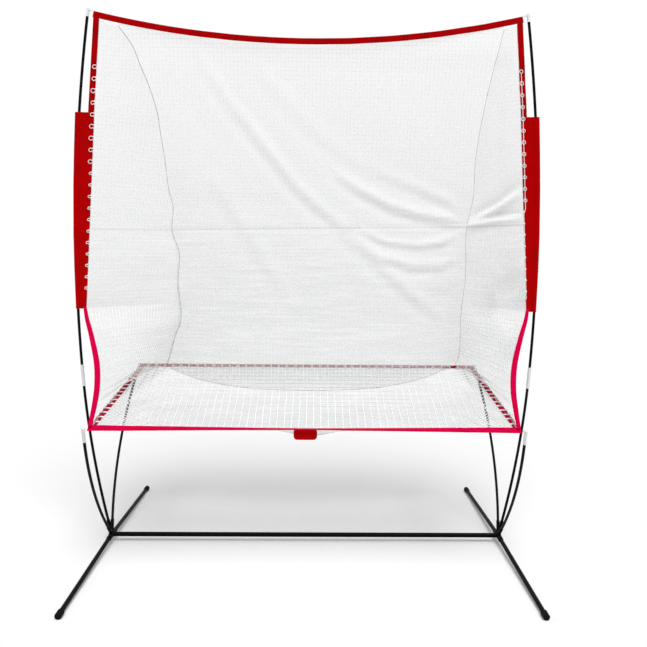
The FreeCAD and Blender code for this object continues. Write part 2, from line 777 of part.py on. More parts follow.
def make_border(word, side):
    """The two red bands that edge one side gusset, above and below the sleeve."""
    hem = Vector(side * (size("sleeve_hem_top") + BAND / 2), 0, size("sleeve_top_height"))
    corner = top_corner(side) - UP * (BAND / 2)
    run = unit(corner - hem)
    lean = abs(run.x / run.z)
    top_run = top_band_arc().tangent(0)
    top_lean = abs(top_run.z / top_run.x)
    foot = hem + run * (GAP + lean * BAND / 2)
    turn = 2 * top_lean - lean + math.hypot(1, top_lean) - 1
    head = corner - run * (GAP + turn * BAND / 2)
    keep(f"side_band_{word}", flat_strip(f"side_band_{word}", foot, head, Vector(0, -1, 0)))
    arc = lower_band_arc(side)
    keep(f"lower_side_band_{word}", bent_strip(f"lower_side_band_{word}", arc, 0.0, arc.length))


def make_tray_border():
    half = size("tray_half_width")
    for place, front in TRAY_POLES:
        depth = front * size("tray_half_depth")
        middle = Vector(0, depth, tray_height(depth)) - TRAY_BACKWARD * (front * BAND / 2)
        strip = flat_strip(f"tray_{place}_band", middle - Vector(half, 0, 0),
                           middle + Vector(half, 0, 0), TRAY_NORMAL)
        keep(f"tray_{place}_band", strip)
    for word, side in SIDES:
        start = inboard(tray_corner(side, -1), side, BAND / 2) + TRAY_BACKWARD * (BAND + GAP)
        end = inboard(tray_corner(side, 1), side, BAND / 2) - TRAY_BACKWARD * (BAND + GAP)
        keep(f"tray_side_band_{word}", flat_strip(f"tray_side_band_{word}", start, end, TRAY_NORMAL))


def sleeve_profile(word, height):
    """Pole centre, hem and half thickness of the sleeve at a height, and its taper angle."""
    low, high = size("sleeve_bottom_height"), size("sleeve_top_height")
    share = (height - low) / (high - low)
    arcs = POLES["main", word].arcs
    arc = next(arc for arc in arcs if height <= arc.point(arc.length).z)
    pole_x = abs(arc.centre.x + arc.radius * (1 if word == "right" else -1)
                 * math.sqrt(1 - ((height - arc.centre.z) / arc.radius) ** 2))
    hem_x = size("sleeve_hem_bottom") + share * (size("sleeve_hem_top") - size("sleeve_hem_bottom"))
    radius = size("ferrule_diameter") / 2 + GAP + size("sleeve_wall")
    hem = size("sleeve_hem_thickness") / 2
    return pole_x, hem_x, radius, hem, math.asin((radius - hem) / (pole_x - hem_x))


def sleeve_section(word, side, height):
    """One slice of the flat sleeve: round over the pole, tapering to its sewn hem."""
    pole_x, hem_x, radius, hem, lean = sleeve_profile(word, height)
    touch_x, touch_y = pole_x - radius * math.sin(lean), radius * math.cos(lean)

    def at(x, y):
        return Vector(side * x, y, height)

    return Part.Wire([
        Part.LineSegment(at(hem_x, hem), at(touch_x, touch_y)).toShape(),
        Part.Arc(at(touch_x, touch_y), at(pole_x + radius, 0), at(touch_x, -touch_y)).toShape(),
        Part.LineSegment(at(touch_x, -touch_y), at(hem_x, -hem)).toShape(),
        Part.LineSegment(at(hem_x, -hem), at(hem_x, hem)).toShape(),
    ])


def make_sleeve(word, side):
    """The red cover that runs over the middle of a tall pole and its upper ferrule."""
    low, high = size("sleeve_bottom_height"), size("sleeve_top_height")
    slices = 6
    cover = Part.makeLoft([sleeve_section(word, side, low + (high - low) * number / slices)
                           for number in range(slices + 1)], True, False)
    bore = size("ferrule_diameter") / 2 + GAP
    tunnels = []
    for arc in POLES["main", word].arcs[1:]:
        mouth = Part.Face(Part.Wire([Part.Circle(arc.point(0), arc.heading, bore).toShape()]))
        tunnels.append(mouth.revolve(arc.centre, arc.axis, math.degrees(arc.angle)))
    solid_feature(f"sleeve_{word}", cover.cut(tunnels).removeSplitter())


# ---------------------------------------------------------------- netting

def clip_polygon(polygon, inside, crossing):
    """One step of clipping a convex polygon by a half plane."""
    kept = []
    for number, point in enumerate(polygon):
        following = polygon[(number + 1) % len(polygon)]
        if inside(point):
            kept.append(point)
        if inside(point) != inside(following):
            kept.append(crossing(point, following))
    return kept


def inset_clip(cell, polygon, margin):
    """The part of a mesh cell that lies inside a convex polygon by at least margin."""
    turn = sum(a[0] * b[1] - b[0] * a[1] for a, b in zip(polygon, polygon[1:] + polygon[:1]))
    ring = polygon if turn > 0 else polygon[::-1]
    for number, start in enumerate(ring):
        end = ring[(number + 1) % len(ring)]
        run = math.hypot(end[0] - start[0], end[1] - start[1])
        normal = ((start[1] - end[1]) / run, (end[0] - start[0]) / run)

        def depth(point):
            return ((point[0] - start[0]) * normal[0] + (point[1] - start[1]) * normal[1]) - margin

        def crossing(first, second):
            share = depth(first) / (depth(first) - depth(second))
            return (first[0] + share * (second[0] - first[0]), first[1] + share * (second[1] - first[1]))

        cell = clip_polygon(cell, lambda point: depth(point) >= 0, crossing)
        if len(cell) < 3:
            return None
    area = abs(sum(a[0] * b[1] - b[0] * a[1] for a, b in zip(cell, cell[1:] + cell[:1]))) / 2
    return cell if area > (4 * margin) ** 2 else None


def mesh_panel(corners, across, up, thickness, mesh):
    """A flat panel of net between convex corners; across and up set the way the mesh runs."""
    strand = size("strand_width")
    through = unit(across.cross(up)) * thickness
    normal = unit((corners[1] - corners[0]).cross(corners[2] - corners[0]))

    def lift(u, v):
        """The panel's point that is seen at (u, v) when looking along its thickness."""
        point = across * u + up * v
        direction = unit(through)
        return point + direction * ((corners[0] - point).dot(normal) / direction.dot(normal))

    flat = [(corner.dot(across), corner.dot(up)) for corner in corners]
    low_u, high_u = min(u for u, v in flat), max(u for u, v in flat)
    low_v, high_v = min(v for u, v in flat), max(v for u, v in flat)
    wires = [Part.makePolygon(corners + [corners[0]])]
    half = (mesh - strand) / 2
    for column in range(math.floor(low_u / mesh), math.ceil(high_u / mesh) + 1):
        for line in range(math.floor(low_v / mesh), math.ceil(high_v / mesh) + 1):
            u, v = column * mesh, line * mesh
            cell = [(u - half, v - half), (u + half, v - half), (u + half, v + half),
                    (u - half, v + half)]
            hole = inset_clip(cell, flat, strand / 2)
            if hole:
                ring = [lift(*point) for point in hole]
                wires.append(Part.makePolygon(ring + [ring[0]]))
    face = Part.makeFace(wires, "Part::FaceMakerBullseye")
    face.translate(through * -0.5)
    return face.extrude(through), len(wires) - 1


def make_net(label, panels, across, up, mesh):
    """One net of flat panels that share their edges, fused into one holed sheet."""
    made = [mesh_panel(corners, across, up, size("net_thickness"), mesh) for corners in panels]
    whole = made[0][0]
    if len(made) > 1:
        whole = whole.fuse([solid for solid, count in made[1:]]).removeSplitter()
    gaps = sum(count for solid, count in made)
    print(label, "gaps", gaps, "solids", len(whole.Solids))
    solid_feature(label, whole.Solids[0] if len(whole.Solids) == 1 else whole)


def tray_floor_height(depth):
    """Height of the tray net's rear slope at a depth."""
    rear = size("tray_half_depth") - BAND
    low = -size("tray_low_depth")
    share = (depth - low) / (rear - low)
    return size("tray_low_height") + share * (tray_height(rear) - size("tray_low_height"))


def tray_panels():
    inner_x = size("tray_half_width") - BAND - GAP
    inner_y = size("tray_half_depth") - BAND * math.cos(TRAY_SLOPE) - GAP - size("net_thickness") / 8
    low_x, low_y, low_z = size("tray_low_half_width"), -size("tray_low_depth"), size("tray_low_height")
    front = [Vector(side * inner_x, -inner_y, tray_height(-inner_y)) for side in (-1, 1)]
    rear = [Vector(side * inner_x, inner_y, tray_height(inner_y)) for side in (-1, 1)]
    low = [Vector(side * low_x, low_y, low_z) for side in (-1, 1)]
    return [
        [front[0], front[1], low[1], low[0]],
        [low[0], low[1], rear[1], rear[0]],
        [front[0], low[0], rear[0]],
        [front[1], rear[1], low[1]],
    ]


SEAM_GAP = size("seam_cord_diameter") / 2 + size("net_thickness") / 2 + 2 * GAP
NET_FRONT = BAND_T / 2 + GAP + size("net_thickness") / 2


def seam_points(side):
    """The net's corner seam, from the top band down to the tray and in to the middle."""
    top_height = top_band_edge(size("back_top_half_width")) - size("seam_cord_diameter")
    shoulder = size("back_shoulder_height")
    share = (top_height - shoulder) / (top_height - size("back_mid_height"))
    shoulder_x = size("back_top_half_width") - share * (size("back_top_half_width")
                                                        - size("back_mid_half_width"))
    low_y = size("seam_low_depth")
    rest = size("net_thickness") + size("seam_cord_diameter") / 2 + GAP
    rear = size("tray_half_depth") - BAND
    return [
        Vector(side * size("back_top_half_width"), NET_FRONT, top_height),
        Vector(side * shoulder_x, NET_FRONT, shoulder),
        Vector(side * size("back_mid_half_width"), size("back_mid_depth"), size("back_mid_height")),
        Vector(side * size("back_bottom_half_width"), rear, tray_height(rear) + rest),
        Vector(side * size("seam_low_half_width"), low_y, tray_floor_height(low_y) + rest),
    ]


def top_band_edge(x):
    """Height of the sagging top band's lower edge at x."""
    arc = top_band_arc()
    radius = arc.radius + BAND / 2
    return arc.centre.z - math.sqrt(radius * radius - x * x)


def back_panels():
    """The back panel: a short upright top, a long slope and a lower part drawn to the seam."""
    top, shoulder, mid, corner, low = (seam_points(1)[item] for item in range(5))
    lift = Vector(0, 0, size("seam_cord_diameter") / 2 + GAP)
    top, shoulder, mid = (inboard(point, 1, SEAM_GAP) for point in (top, shoulder, mid))
    corner, low = inboard(corner, 1, SEAM_GAP) + lift, low + lift
    shoulder_inner = Vector(low.x, mid.y, mid.z)

    def mirrored(points):
        return [Vector(-point.x, point.y, point.z) for point in points][::-1]

    def edge(x):
        return Vector(x, NET_FRONT, top_band_edge(x) - GAP)

    panels = []
    count = 4
    for number in range(-count, count):
        left, right = (edge(top.x * item / count) for item in (number, number + 1))
        panels.append([Vector(shoulder.x * number / count, NET_FRONT, shoulder.z),
                       Vector(shoulder.x * (number + 1) / count, NET_FRONT, shoulder.z), right, left])
    panels.append([mirrored([mid])[0], mid, shoulder, mirrored([shoulder])[0]])
    panels.append([mirrored([low])[0], low, shoulder_inner, mirrored([shoulder_inner])[0]])
    for triangle in ([shoulder_inner, low, corner], [shoulder_inner, corner, mid]):
        panels.append(triangle)
        panels.append(mirrored(triangle))
    return panels


def side_panels(side):
    """A side gusset, from the red border back to the corner seam."""
    top, shoulder, mid, corner = (inboard(point, side, -SEAM_GAP) for point in seam_points(side)[:4])
    corner = corner + UP * GAP
    inner = top_corner(side).x - side * (BAND / 2 + GAP)
    band_top = Vector(inner, NET_FRONT, top_band_edge(inner) - GAP)
    top = Vector(top.x, top.y, top_band_edge(top.x) - GAP)
    hem_top = Vector(side * (size("sleeve_hem_top") - GAP), NET_FRONT, size("sleeve_top_height"))
    hem_bottom = Vector(side * (size("sleeve_hem_bottom") - 2 * GAP), NET_FRONT,
                        size("sleeve_bottom_height"))
    over_band = UP * (BAND_T / 2 + size("net_thickness") / 2 + GAP)
    setback = size("net_setback")
    front = inboard(tray_corner(side, -1), side, BAND + setback) + over_band
    front += Vector(0, BAND + setback, setback)
    rear = inboard(tray_corner(side, 1), side, BAND / 2) + over_band + Vector(0, -BAND / 2, BAND_T)
    arc = lower_band_arc(side)
    beside_band = 1 + (BAND / 2 + size("net_thickness") + setback) / arc.radius
    edge = [hem_bottom]
    for share in (0.25, 0.5, 0.75):
        edge.append(arc.centre + (arc.point(arc.length * share) - arc.centre) * beside_band)
    edge.append(front)
    panels = [
        [top, band_top, hem_top, shoulder],
        [shoulder, hem_top, mid],
        [hem_top, hem_bottom, mid],
        [mid, hem_bottom, corner],
        [hem_bottom, rear, corner],
    ]
    for upper, lower in zip(edge, edge[1:]):
        panels.append([upper, lower, rear])
    return panels


# ---------------------------------------------------------------- cords sewn into the net

def rounded_path(points, trim):
    """Straight runs joined by tangent arcs that start trim before each corner."""
    edges = []
    start = points[0]
    tightest = math.inf
    for before, corner, after in zip(points, points[1:], points[2:]):
        back, ahead = unit(before - corner), unit(after - corner)
        half_turn = (math.pi - back.getAngle(ahead)) / 2
        radius = trim / math.tan(half_turn)
        tightest = min(tightest, radius)
        enter, leave = corner + back * trim, corner + ahead * trim
        middle = corner + unit(back + ahead) * (math.hypot(trim, radius) - radius)
        edges.append(Part.LineSegment(start, enter).toShape())
        edges.append(Part.Arc(enter, middle, leave).toShape())
        start = leave
    edges.append(Part.LineSegment(start, points[-1]).toShape())
    return Part.Wire(edges), tightest


def swept_cord(label, points, diameter, trim):
    """A round cord along straight runs and tangent arcs."""
    path, tightest = rounded_path(points, trim)
    heading = unit(points[1] - points[0])
    ring = Part.Wire([Part.Circle(points[0], heading, diameter / 2).toShape()])
    cord = path.makePipeShell([ring], True, False)
    expected = math.pi * diameter ** 2 / 4 * path.Length
    print(label, "length", round(path.Length), "tightest", round(tightest, 1),
          "volume share", round(cord.Volume / expected, 4))
    solid_feature(label, cord)


def make_seam_cord():
    left = seam_points(-1)
    right = seam_points(1)
    swept_cord("seam_cord", left + right[::-1], size("seam_cord_diameter"), size("cord_turn"))


def lacing_line(side, height):
    """The border's inner edge, that the lacing runs along."""
    hem_top, hem_bottom = size("sleeve_hem_top"), size("sleeve_hem_bottom")
    top, bottom = size("sleeve_top_height"), size("sleeve_bottom_height")
    if height < top:
        return hem_bottom + (height - bottom) / (top - bottom) * (hem_top - hem_bottom)
    inner = size("net_top_half_width") - BAND
    return hem_top + (height - top) / (size("net_top_height") - BAND - top) * (inner - hem_top)


def lacing_depth(word, height):
    """How far in front of the net's plane the lacing lies where it crosses the border."""
    cover = BAND_T / 2
    if height < size("sleeve_top_height"):
        hem, lean = sleeve_profile(word, height)[3:]
        cover = hem + size("lacing_reach") * math.tan(lean)
    return cover + GAP + size("lacing_cord_diameter") / 2


def make_lacing(word, side):
    """A white cord laced over the border's inner edge, one turn each pitch."""
    low, high = size("lacing_bottom"), size("lacing_top")
    turns = int((high - low) // size("lacing_pitch"))
    pitch = (high - low) / turns
    points = []
    for half in range(2 * turns + 1):
        height = low + half * pitch / 2
        swing = size("lacing_reach") * (1 if half % 2 else -1)
        points.append(Vector(side * (lacing_line(side, height) + swing), -lacing_depth(word, height),
                             height))
    swept_cord(f"lacing_{word}", points, size("lacing_cord_diameter"), size("cord_turn"))


# ---------------------------------------------------------------- patch

def make_patch():
    """A bare stitched patch that hangs from the tray net, just behind the front band."""
    front_y = -(size("tray_half_depth") - BAND)
    slope = math.atan2(tray_height(front_y) - size("tray_low_height"),
                       -front_y - size("tray_low_depth"))
    body = doc.addObject("PartDesign::Body", "tray_patch")
    sketch = new_sketch(body, "XY_Plane", "outline")
    add_rectangle(sketch, "Sizes.patch_width", "Sizes.patch_height")
    plate = pad(body, sketch, "Sizes.patch_thickness")
    doc.recompute()
    corners = [f"Edge{number + 1}" for number, edge in enumerate(plate.Shape.Edges)
               if abs(edge.tangentAt(edge.FirstParameter).z) > 0.9]
    rounding = body.newObject("PartDesign::Fillet", "Rounding")
    rounding.Base = (plate, corners)
    rounding.setExpression("Radius", "Sizes.patch_rounding")
    drop = size("net_thickness") / 2 / math.cos(slope) + size("patch_setback") * math.tan(slope)
    top = tray_height(front_y) - drop - GAP
    middle = Vector(0, front_y + size("patch_setback"), top - size("patch_height") / 2)
    body.Placement = frame(middle, Vector(1, 0, 0), Vector(0, -1, 0))
    keep("tray_patch", body)


# ---------------------------------------------------------------- the whole net

for word, side in SIDES:
    make_hub(word, side)
    half_crossbar(word, side)
    for place, front in TRAY_POLES:
        make_leg(word, side, place, front)
        make_foot(word, side, place, front)
        make_tray_pole(place, word)
        make_tip(f"{place}_tip_{word}", POLES[place, word])
    make_main_pole(word)
    make_tip(f"main_tip_{word}", POLES["main", word])
    make_sleeve(word, side)
    make_border(word, side)
    make_lacing(word, side)
lock("crossbar_button_middle", middle_button_place(), Vector(-1, 0, 0), Vector(0, 1, 0))
solid_feature("button_clips", Part.makeCompound(CLIPS))
solid_feature("corner_loops", Part.makeCompound([corner_loop(pole) for pole in POLES.values()]))
arc = top_band_arc()
keep("top_band", bent_strip("top_band", arc, 0.0, arc.length))
make_tray_border()
make_net("tray_net", tray_panels(), Vector(1, 0, 0), Vector(0, 1, 0), size("tray_mesh"))
make_net("back_net", back_panels(), Vector(1, 0, 0), Vector(0, 0, 1), size("back_mesh"))
for word, side in SIDES:
    outward = unit(Vector(side * 0.64, 0.77, 0))
    make_net(f"side_net_{word}", side_panels(side), UP.cross(outward), UP, size("side_mesh"))
make_seam_cord()
make_patch()

doc.recompute()
for item in doc.Objects:
    if "Invalid" in item.State or "Error" in item.State:
        raise RuntimeError(f"{item.Name} did not build: {item.State}")
for label, feature in pieces.items():
    if feature.Shape.isNull() or not feature.Shape.isValid() or not feature.Shape.Solids:
        raise RuntimeError(f"{label} has no sound solid")

os.makedirs("parts", exist_ok=True)
for label, feature in pieces.items():
    feature.Shape.exportStep(f"parts/{label}.step")
print(len(pieces), "sub-parts written")
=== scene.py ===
# %% [markdown]
# # Dressing a bow-frame catch net
# The steel base, the poles and the end caps come from the engineering model and are only given
# a finish here. Everything soft is made again in this lesson: red webbing with its stitches,
# cloth sleeves over the poles, knotless netting, cords. All lengths are metres.

# %% Load the fixed frame
import json
import math

import bpy
from mathutils import Matrix, Vector, noise


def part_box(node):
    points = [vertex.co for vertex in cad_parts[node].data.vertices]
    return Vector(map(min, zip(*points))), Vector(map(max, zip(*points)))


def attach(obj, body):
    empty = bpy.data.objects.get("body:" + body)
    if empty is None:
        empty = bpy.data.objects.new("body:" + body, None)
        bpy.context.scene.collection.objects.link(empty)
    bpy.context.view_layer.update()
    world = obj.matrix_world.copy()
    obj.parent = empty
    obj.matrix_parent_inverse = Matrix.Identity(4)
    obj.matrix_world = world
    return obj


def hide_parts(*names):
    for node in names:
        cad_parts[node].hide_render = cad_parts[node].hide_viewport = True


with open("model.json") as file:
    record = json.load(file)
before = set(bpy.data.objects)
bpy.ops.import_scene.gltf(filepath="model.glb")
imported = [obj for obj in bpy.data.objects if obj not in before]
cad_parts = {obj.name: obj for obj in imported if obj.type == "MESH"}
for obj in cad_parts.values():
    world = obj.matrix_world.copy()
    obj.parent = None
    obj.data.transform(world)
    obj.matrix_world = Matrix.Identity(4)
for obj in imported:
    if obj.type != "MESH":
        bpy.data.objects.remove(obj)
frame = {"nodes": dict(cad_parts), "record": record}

BODY = "net_frame"
MM = 0.001
SIDES = (("left", -1), ("right", 1))
UP = Vector((0, 0, 1))
RIGHT = Vector((1, 0, 0))
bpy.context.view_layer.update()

# %% [markdown]
# ## Colour and node helpers
# A colour is written as the sRGB hex value that the eye sees. Blender's shaders work in linear
# light, so one function converts it. A second helper adds any node with its settings and links,
# and the small ones after it name the few patterns that every material here is made of: a place,
# a noise, a wave, a ramp and a bump. Each material then reads as a short list of what it is.

# %% One colour function, one node function
def linear(code):
    """An sRGB hex colour in linear light."""
    parts = [int(code[place:place + 2], 16) / 255 for place in (1, 3, 5)]
    parts = [part / 12.92 if part <= 0.04045 else ((part + 0.055) / 1.055) ** 2.4 for part in parts]
    return (*parts, 1.0)


def add(tree, kind, inputs=None, **settings):
    """Add a node. inputs maps a socket to a value, or to the output socket that feeds it."""
    node = tree.nodes.new(kind)
    for name, value in settings.items():
        setattr(node, name, value)
    for socket, value in (inputs or {}).items():
        if isinstance(value, bpy.types.NodeSocket):
            tree.links.new(value, node.inputs[socket])
        else:
            node.inputs[socket].default_value = value
    return node


def finish_of(name, roughness, **sockets):
    """A new material with constant values set on the shader's own sockets."""
    material = bpy.data.materials.new(name)
    material.use_nodes = True
    tree = material.node_tree
    shader = tree.nodes["Principled BSDF"]
    shader.inputs["Roughness"].default_value = roughness
    for socket, value in sockets.items():
        shader.inputs[socket.replace("_", " ")].default_value = value
    return material, tree, shader


def blend_colours(tree, factor, first, second):
    """A colour that goes from first to second with factor."""
    mix = add(tree, "ShaderNodeMix", {"Factor": factor}, data_type="RGBA")
    mix.inputs["A"].default_value = linear(first)
    mix.inputs["B"].default_value = linear(second)
    return mix.outputs["Result"]


# %% Patterns that the materials share
WAVE_SCALE = 0.314  # the scale at which a wave texture's crests lie one metre apart


def place_of(tree):
    """The place on the object, in metres."""
    return add(tree, "ShaderNodeTexCoord").outputs["Object"]


def stretched(tree, place, scale):
    """A place scaled by a different number on each axis."""
    return add(tree, "ShaderNodeMapping", {"Vector": place, "Scale": scale}).outputs["Vector"]


def clouds(tree, place, scale, detail):
    """Soft noise from 0 to 1, with scale clouds to the metre."""
    return add(tree, "ShaderNodeTexNoise", {"Vector": place, "Scale": scale,
                                            "Detail": detail}).outputs["Fac"]


def waves(tree, place, spacing, direction, **inputs):
    """Waves from 0 to 1 whose crests lie spacing apart."""
    return add(tree, "ShaderNodeTexWave", {"Vector": place, "Scale": WAVE_SCALE / spacing, **inputs},
               bands_direction=direction).outputs["Fac"]


def ramp(tree, value, start, end, low=0.0, high=1.0, kind="LINEAR"):
    """A value that goes from low to high while another goes from start to end."""
    return add(tree, "ShaderNodeMapRange", {"Value": value, "From Min": start, "From Max": end,
                                            "To Min": low, "To Max": high},
               interpolation_type=kind).outputs["Result"]


def span(tree, value, start, end, low=0.0, high=1.0):
    """A ramp that starts and ends softly."""
    return ramp(tree, value, start, end, low, high, "SMOOTHSTEP")


def sums(tree, operation, first, second, third=0.0):
    """One arithmetic node."""
    return add(tree, "ShaderNodeMath", {0: first, 1: second, 2: third},
               operation=operation).outputs["Value"]


def bump_of(tree, height, strength, distance):
    """A bumped normal that stands distance high."""
    return add(tree, "ShaderNodeBump", {"Height": height, "Strength": strength,
                                        "Distance": distance}).outputs["Normal"]


def feed(tree, shader, **outputs):
    """Link outputs to the shader's sockets. A space in a socket's name is written as _."""
    for socket, output in outputs.items():
        tree.links.new(output, shader.inputs[socket.replace("_", " ")])


# %% [markdown]
# ## Powder-coated steel
# The base is mild steel tube with a black polyester powder coat. Powder melts and flows into a
# skin about 0.08 mm thick with a faint orange peel, a few millimetres from bump to bump. It is a
# dielectric coat over metal, so it is not metallic. Its IOR is about 1.5, but this is a matt
# coat whose tiny pits swallow most of the gloss, so the specular level is low and it reads as
# a deep black, a little greyer where hands and grass have rubbed it.

# %% Powder coat
def powder_coat():
    material, tree, shader = finish_of("black_powder_coat", 0.42, IOR=1.5,
                                       Specular_IOR_Level=0.05)
    place = place_of(tree)
    peel = clouds(tree, place, 1 / (3.2 * MM), 2.0)
    wear_and_shade = clouds(tree, place, 9.0, 5.0)
    worn = ramp(tree, wear_and_shade, 0.52, 0.8)
    feed(tree, shader, Base_Color=blend_colours(tree, worn, "#020202", "#0A0A0B"),
         Roughness=ramp(tree, wear_and_shade, 0.0, 1.0, 0.34, 0.55),
         Normal=bump_of(tree, peel, 0.12, 0.15 * MM))
    return material


steel = powder_coat()
print("steel finish:", steel.name)

# %% [markdown]
# ## Pultruded fibreglass
# The bent poles are glass rovings pulled through a heated die with black polyester resin. The die
# leaves a smooth skin with very fine lines along the rod. A noise stretched far along the rod,
# here along Z because the rods stand, gives those lines without any texture file.

# %% Fibreglass rod
def fibreglass():
    material, tree, shader = finish_of("black_fibreglass", 0.3, IOR=1.55,
                                       Specular_IOR_Level=0.06)
    lines = clouds(tree, stretched(tree, place_of(tree), (1 / MM, 1 / MM, 12.0)), 1.1, 3.0)
    feed(tree, shader, Base_Color=blend_colours(tree, lines, "#020202", "#08080A"),
         Roughness=ramp(tree, lines, 0.0, 1.0, 0.24, 0.42),
         Normal=bump_of(tree, lines, 0.2, 0.05 * MM))
    return material


rod = fibreglass()

# %% [markdown]
# ## Bright metal
# The ferrules that join the pole sections are drawn aluminium tube, so the marks run along them
# and a bright band shows where the light meets the curve. The button clips are bare spring steel,
# bluer and darker. Both are true metals: metallic 1, default IOR, colour in the reflection.

# %% Drawn aluminium and spring steel
def drawn_metal(name, light, dark, roughness):
    material, tree, shader = finish_of(name, roughness, Metallic=1.0)
    marks = clouds(tree, stretched(tree, place_of(tree), (1 / MM, 1 / MM, 30.0)), 1.6, 4.0)
    feed(tree, shader, Base_Color=blend_colours(tree, marks, dark, light),
         Roughness=ramp(tree, marks, 0.0, 1.0, roughness - 0.08, roughness + 0.1))
    return material


aluminium = drawn_metal("drawn_aluminium", "#F4F4F6", "#D2D3D8", 0.34)
spring_steel = drawn_metal("bare_spring_steel", "#B9BBC0", "#8A8C92", 0.28)

# %% [markdown]
# ## Moulded rubber and plastic
# The foot caps are black rubber from a spark-eroded mould: matt, with a fine grain and a little
# uneven dust. The pole tips are pale nylon, which lets a little light in under the
# surface, so it gets some subsurface scattering.

# %% Rubber foot and nylon tip
def moulded(name, base, second, roughness, grain, **sockets):
    material, tree, shader = finish_of(name, roughness, **sockets)
    place = place_of(tree)
    feed(tree, shader, Base_Color=blend_colours(tree, clouds(tree, place, 40.0, 3.0), base, second),
         Normal=bump_of(tree, clouds(tree, place, 1 / grain, 4.0), 0.35, 0.1 * MM))
    return material


rubber = moulded("black_moulded_rubber", "#040404", "#101010", 0.78, 1.2 * MM,
                 Specular_IOR_Level=0.1)
nylon = moulded("pale_nylon", "#E2E2E0", "#EFEFED", 0.5, 1.5 * MM, Subsurface_Weight=0.1,
                Subsurface_Radius=(0.004, 0.004, 0.004), Subsurface_Scale=0.3)

# %% [markdown]
# ## Woven polyester
# Webbing and sleeve cloth are the same fibre in two weaves. Each mesh made below carries a UV map
# called "weave" that runs in real metres, u along the strip and v across it, so a thread's
# spacing is a real size. Real threads lie about 0.6 mm apart. That is finer than one rendered
# dot, so here they are drawn about 2 mm apart: coarse enough to show as cloth, not as stripes.
# Two crossed waves give the warp and the weft, and a large soft noise gives uneven dye.

# %% Cloth material
def woven(name, light, dark, thread):
    material, tree, shader = finish_of(name, 0.8, IOR=1.45, Specular_IOR_Level=0.03)
    weave = add(tree, "ShaderNodeUVMap", uv_map="weave").outputs["UV"]
    warp = waves(tree, weave, thread, "Y", Distortion=0.3)
    weft = waves(tree, weave, thread * 0.8, "DIAGONAL", Distortion=0.4)
    threads = sums(tree, "MULTIPLY", warp, weft)
    shade = sums(tree, "ADD", threads, clouds(tree, place_of(tree), 14.0, 4.0))
    feed(tree, shader, Base_Color=blend_colours(tree, ramp(tree, shade, 0.3, 1.3), dark, light),
         Normal=bump_of(tree, threads, 0.25, 0.4 * MM))
    return material


red_webbing = woven("red_polyester_webbing", "#BC0004", "#8E0002", 2.2 * MM)
red_cloth = woven("red_sleeve_cloth", "#BE0003", "#9C0001", 1.8 * MM)
crimson_webbing = woven("crimson_polyester_webbing", "#E4004C", "#BE003E", 2.2 * MM)
# The tray's rear and side bands are the same crimson webbing; this darker, duller copy is painted shade
# for the back of the tray.
shaded_rim_webbing = woven("crimson_webbing_painted_shade", "#C81444", "#9C0A30", 2.2 * MM)
patch_cloth = woven("red_patch_cloth", "#D2080E", "#A80206", 1.6 * MM)

# %% [markdown]
# ## Twine and thread
# The netting, the lacing and the seam are white polyester twine. A twine is twisted yarn, so its
# surface has a fine slanted ridge and its white is never quite even. Sewing thread is the same
# yarn dyed to match the webbing.

# %% Twine and sewing thread
def twine(name, light, dark, lay):
    material, tree, shader = finish_of(name, 0.75, IOR=1.45, Specular_IOR_Level=0.15)
    place = place_of(tree)
    twist = waves(tree, place, lay, "DIAGONAL", Distortion=1.5, Detail=1.0)
    uneven = ramp(tree, clouds(tree, place, 6.0, 5.0), 0.3, 0.7)
    feed(tree, shader, Base_Color=blend_colours(tree, uneven, dark, light),
         Normal=bump_of(tree, twist, 0.15, 0.1 * MM))
    return material


net_twine = twine("white_net_twine", "#FCFCFC", "#F4F5F5", 2.0 * MM)
tray_twine = twine("white_tray_twine", "#FDFDFD", "#F5F6F6", 2.5 * MM)
# The seam cord is white twine like the rest; its grey is painted shade along the seam.
seam_shade_twine = twine("seam_cord_painted_shade", "#A09E9F", "#7A7879", 1.5 * MM)
lacing_twine = twine("white_lacing_cord", "#FCFCFC", "#F0F0F1", 1.5 * MM)
red_thread = twine("red_sewing_thread", "#C8080C", "#A40206", 1.0 * MM)

# %% [markdown]
# ## Fine mesh
# Between its twines the net is a sheer knit, like a curtain: threads of 0.3 mm round holes of
# 2 mm. That is far finer than one rendered dot, so most of it is set as an even share of cover,
# and the knit is drawn over it 7 mm apart, as coarse as it needs to be to show at all. Cover is
# the material's alpha. Painted shade and a few marks of the cloth are drawn in the same way:
#
# - low down it is greyer, which is painted shade, and high up it is stretched thinner,
# - at its foot, and in the tray's back half, it is pulled thin,
# - where a fold leans forward and faces down, painted shade darkens it and thickens its cover:
#   each skin made below carries a number that says how far it leans over,
# - slack rows of knitting lie there as level ripples, 15 mm apart,
# - a line of painted shade runs across every panel along the crease from its pack, hardest on
#   the right, where the pack was pinched,
# - one gusset has a cloud of painted shade low on its outer half.

# %% Sheer knit
KNIT = 7 * MM
CREASE = 1.672
CREASE_RISE = 0.018


def painted_crease_shade(tree, axes):
    """Painted shade along the crease from the pack: 1 on its line, 0 from 6 mm off, weaker away from the
    right.
    """
    level_line = sums(tree, "MULTIPLY_ADD", axes["X"], -CREASE_RISE, axes["Z"])
    away = sums(tree, "ABSOLUTE", sums(tree, "SUBTRACT", level_line, CREASE), 0.0)
    return sums(tree, "MULTIPLY", span(tree, away, 6 * MM, 1 * MM),
                span(tree, axes["X"], 0.75, 1.05, 0.6, 1.0))


def painted_gusset_shade(tree, place, axes):
    """Painted shade low on the outer half of the right gusset, mottled by noise."""
    gusset_shade = sums(tree, "MULTIPLY", span(tree, axes["X"], 0.93, 1.06),
                 sums(tree, "MULTIPLY", span(tree, axes["Z"], 1.60, 1.36),
                      span(tree, axes["Z"], 0.86, 1.05)))
    return sums(tree, "MULTIPLY", gusset_shade, span(tree, clouds(tree, place, 7.0, 5.0), 0.36, 0.62))


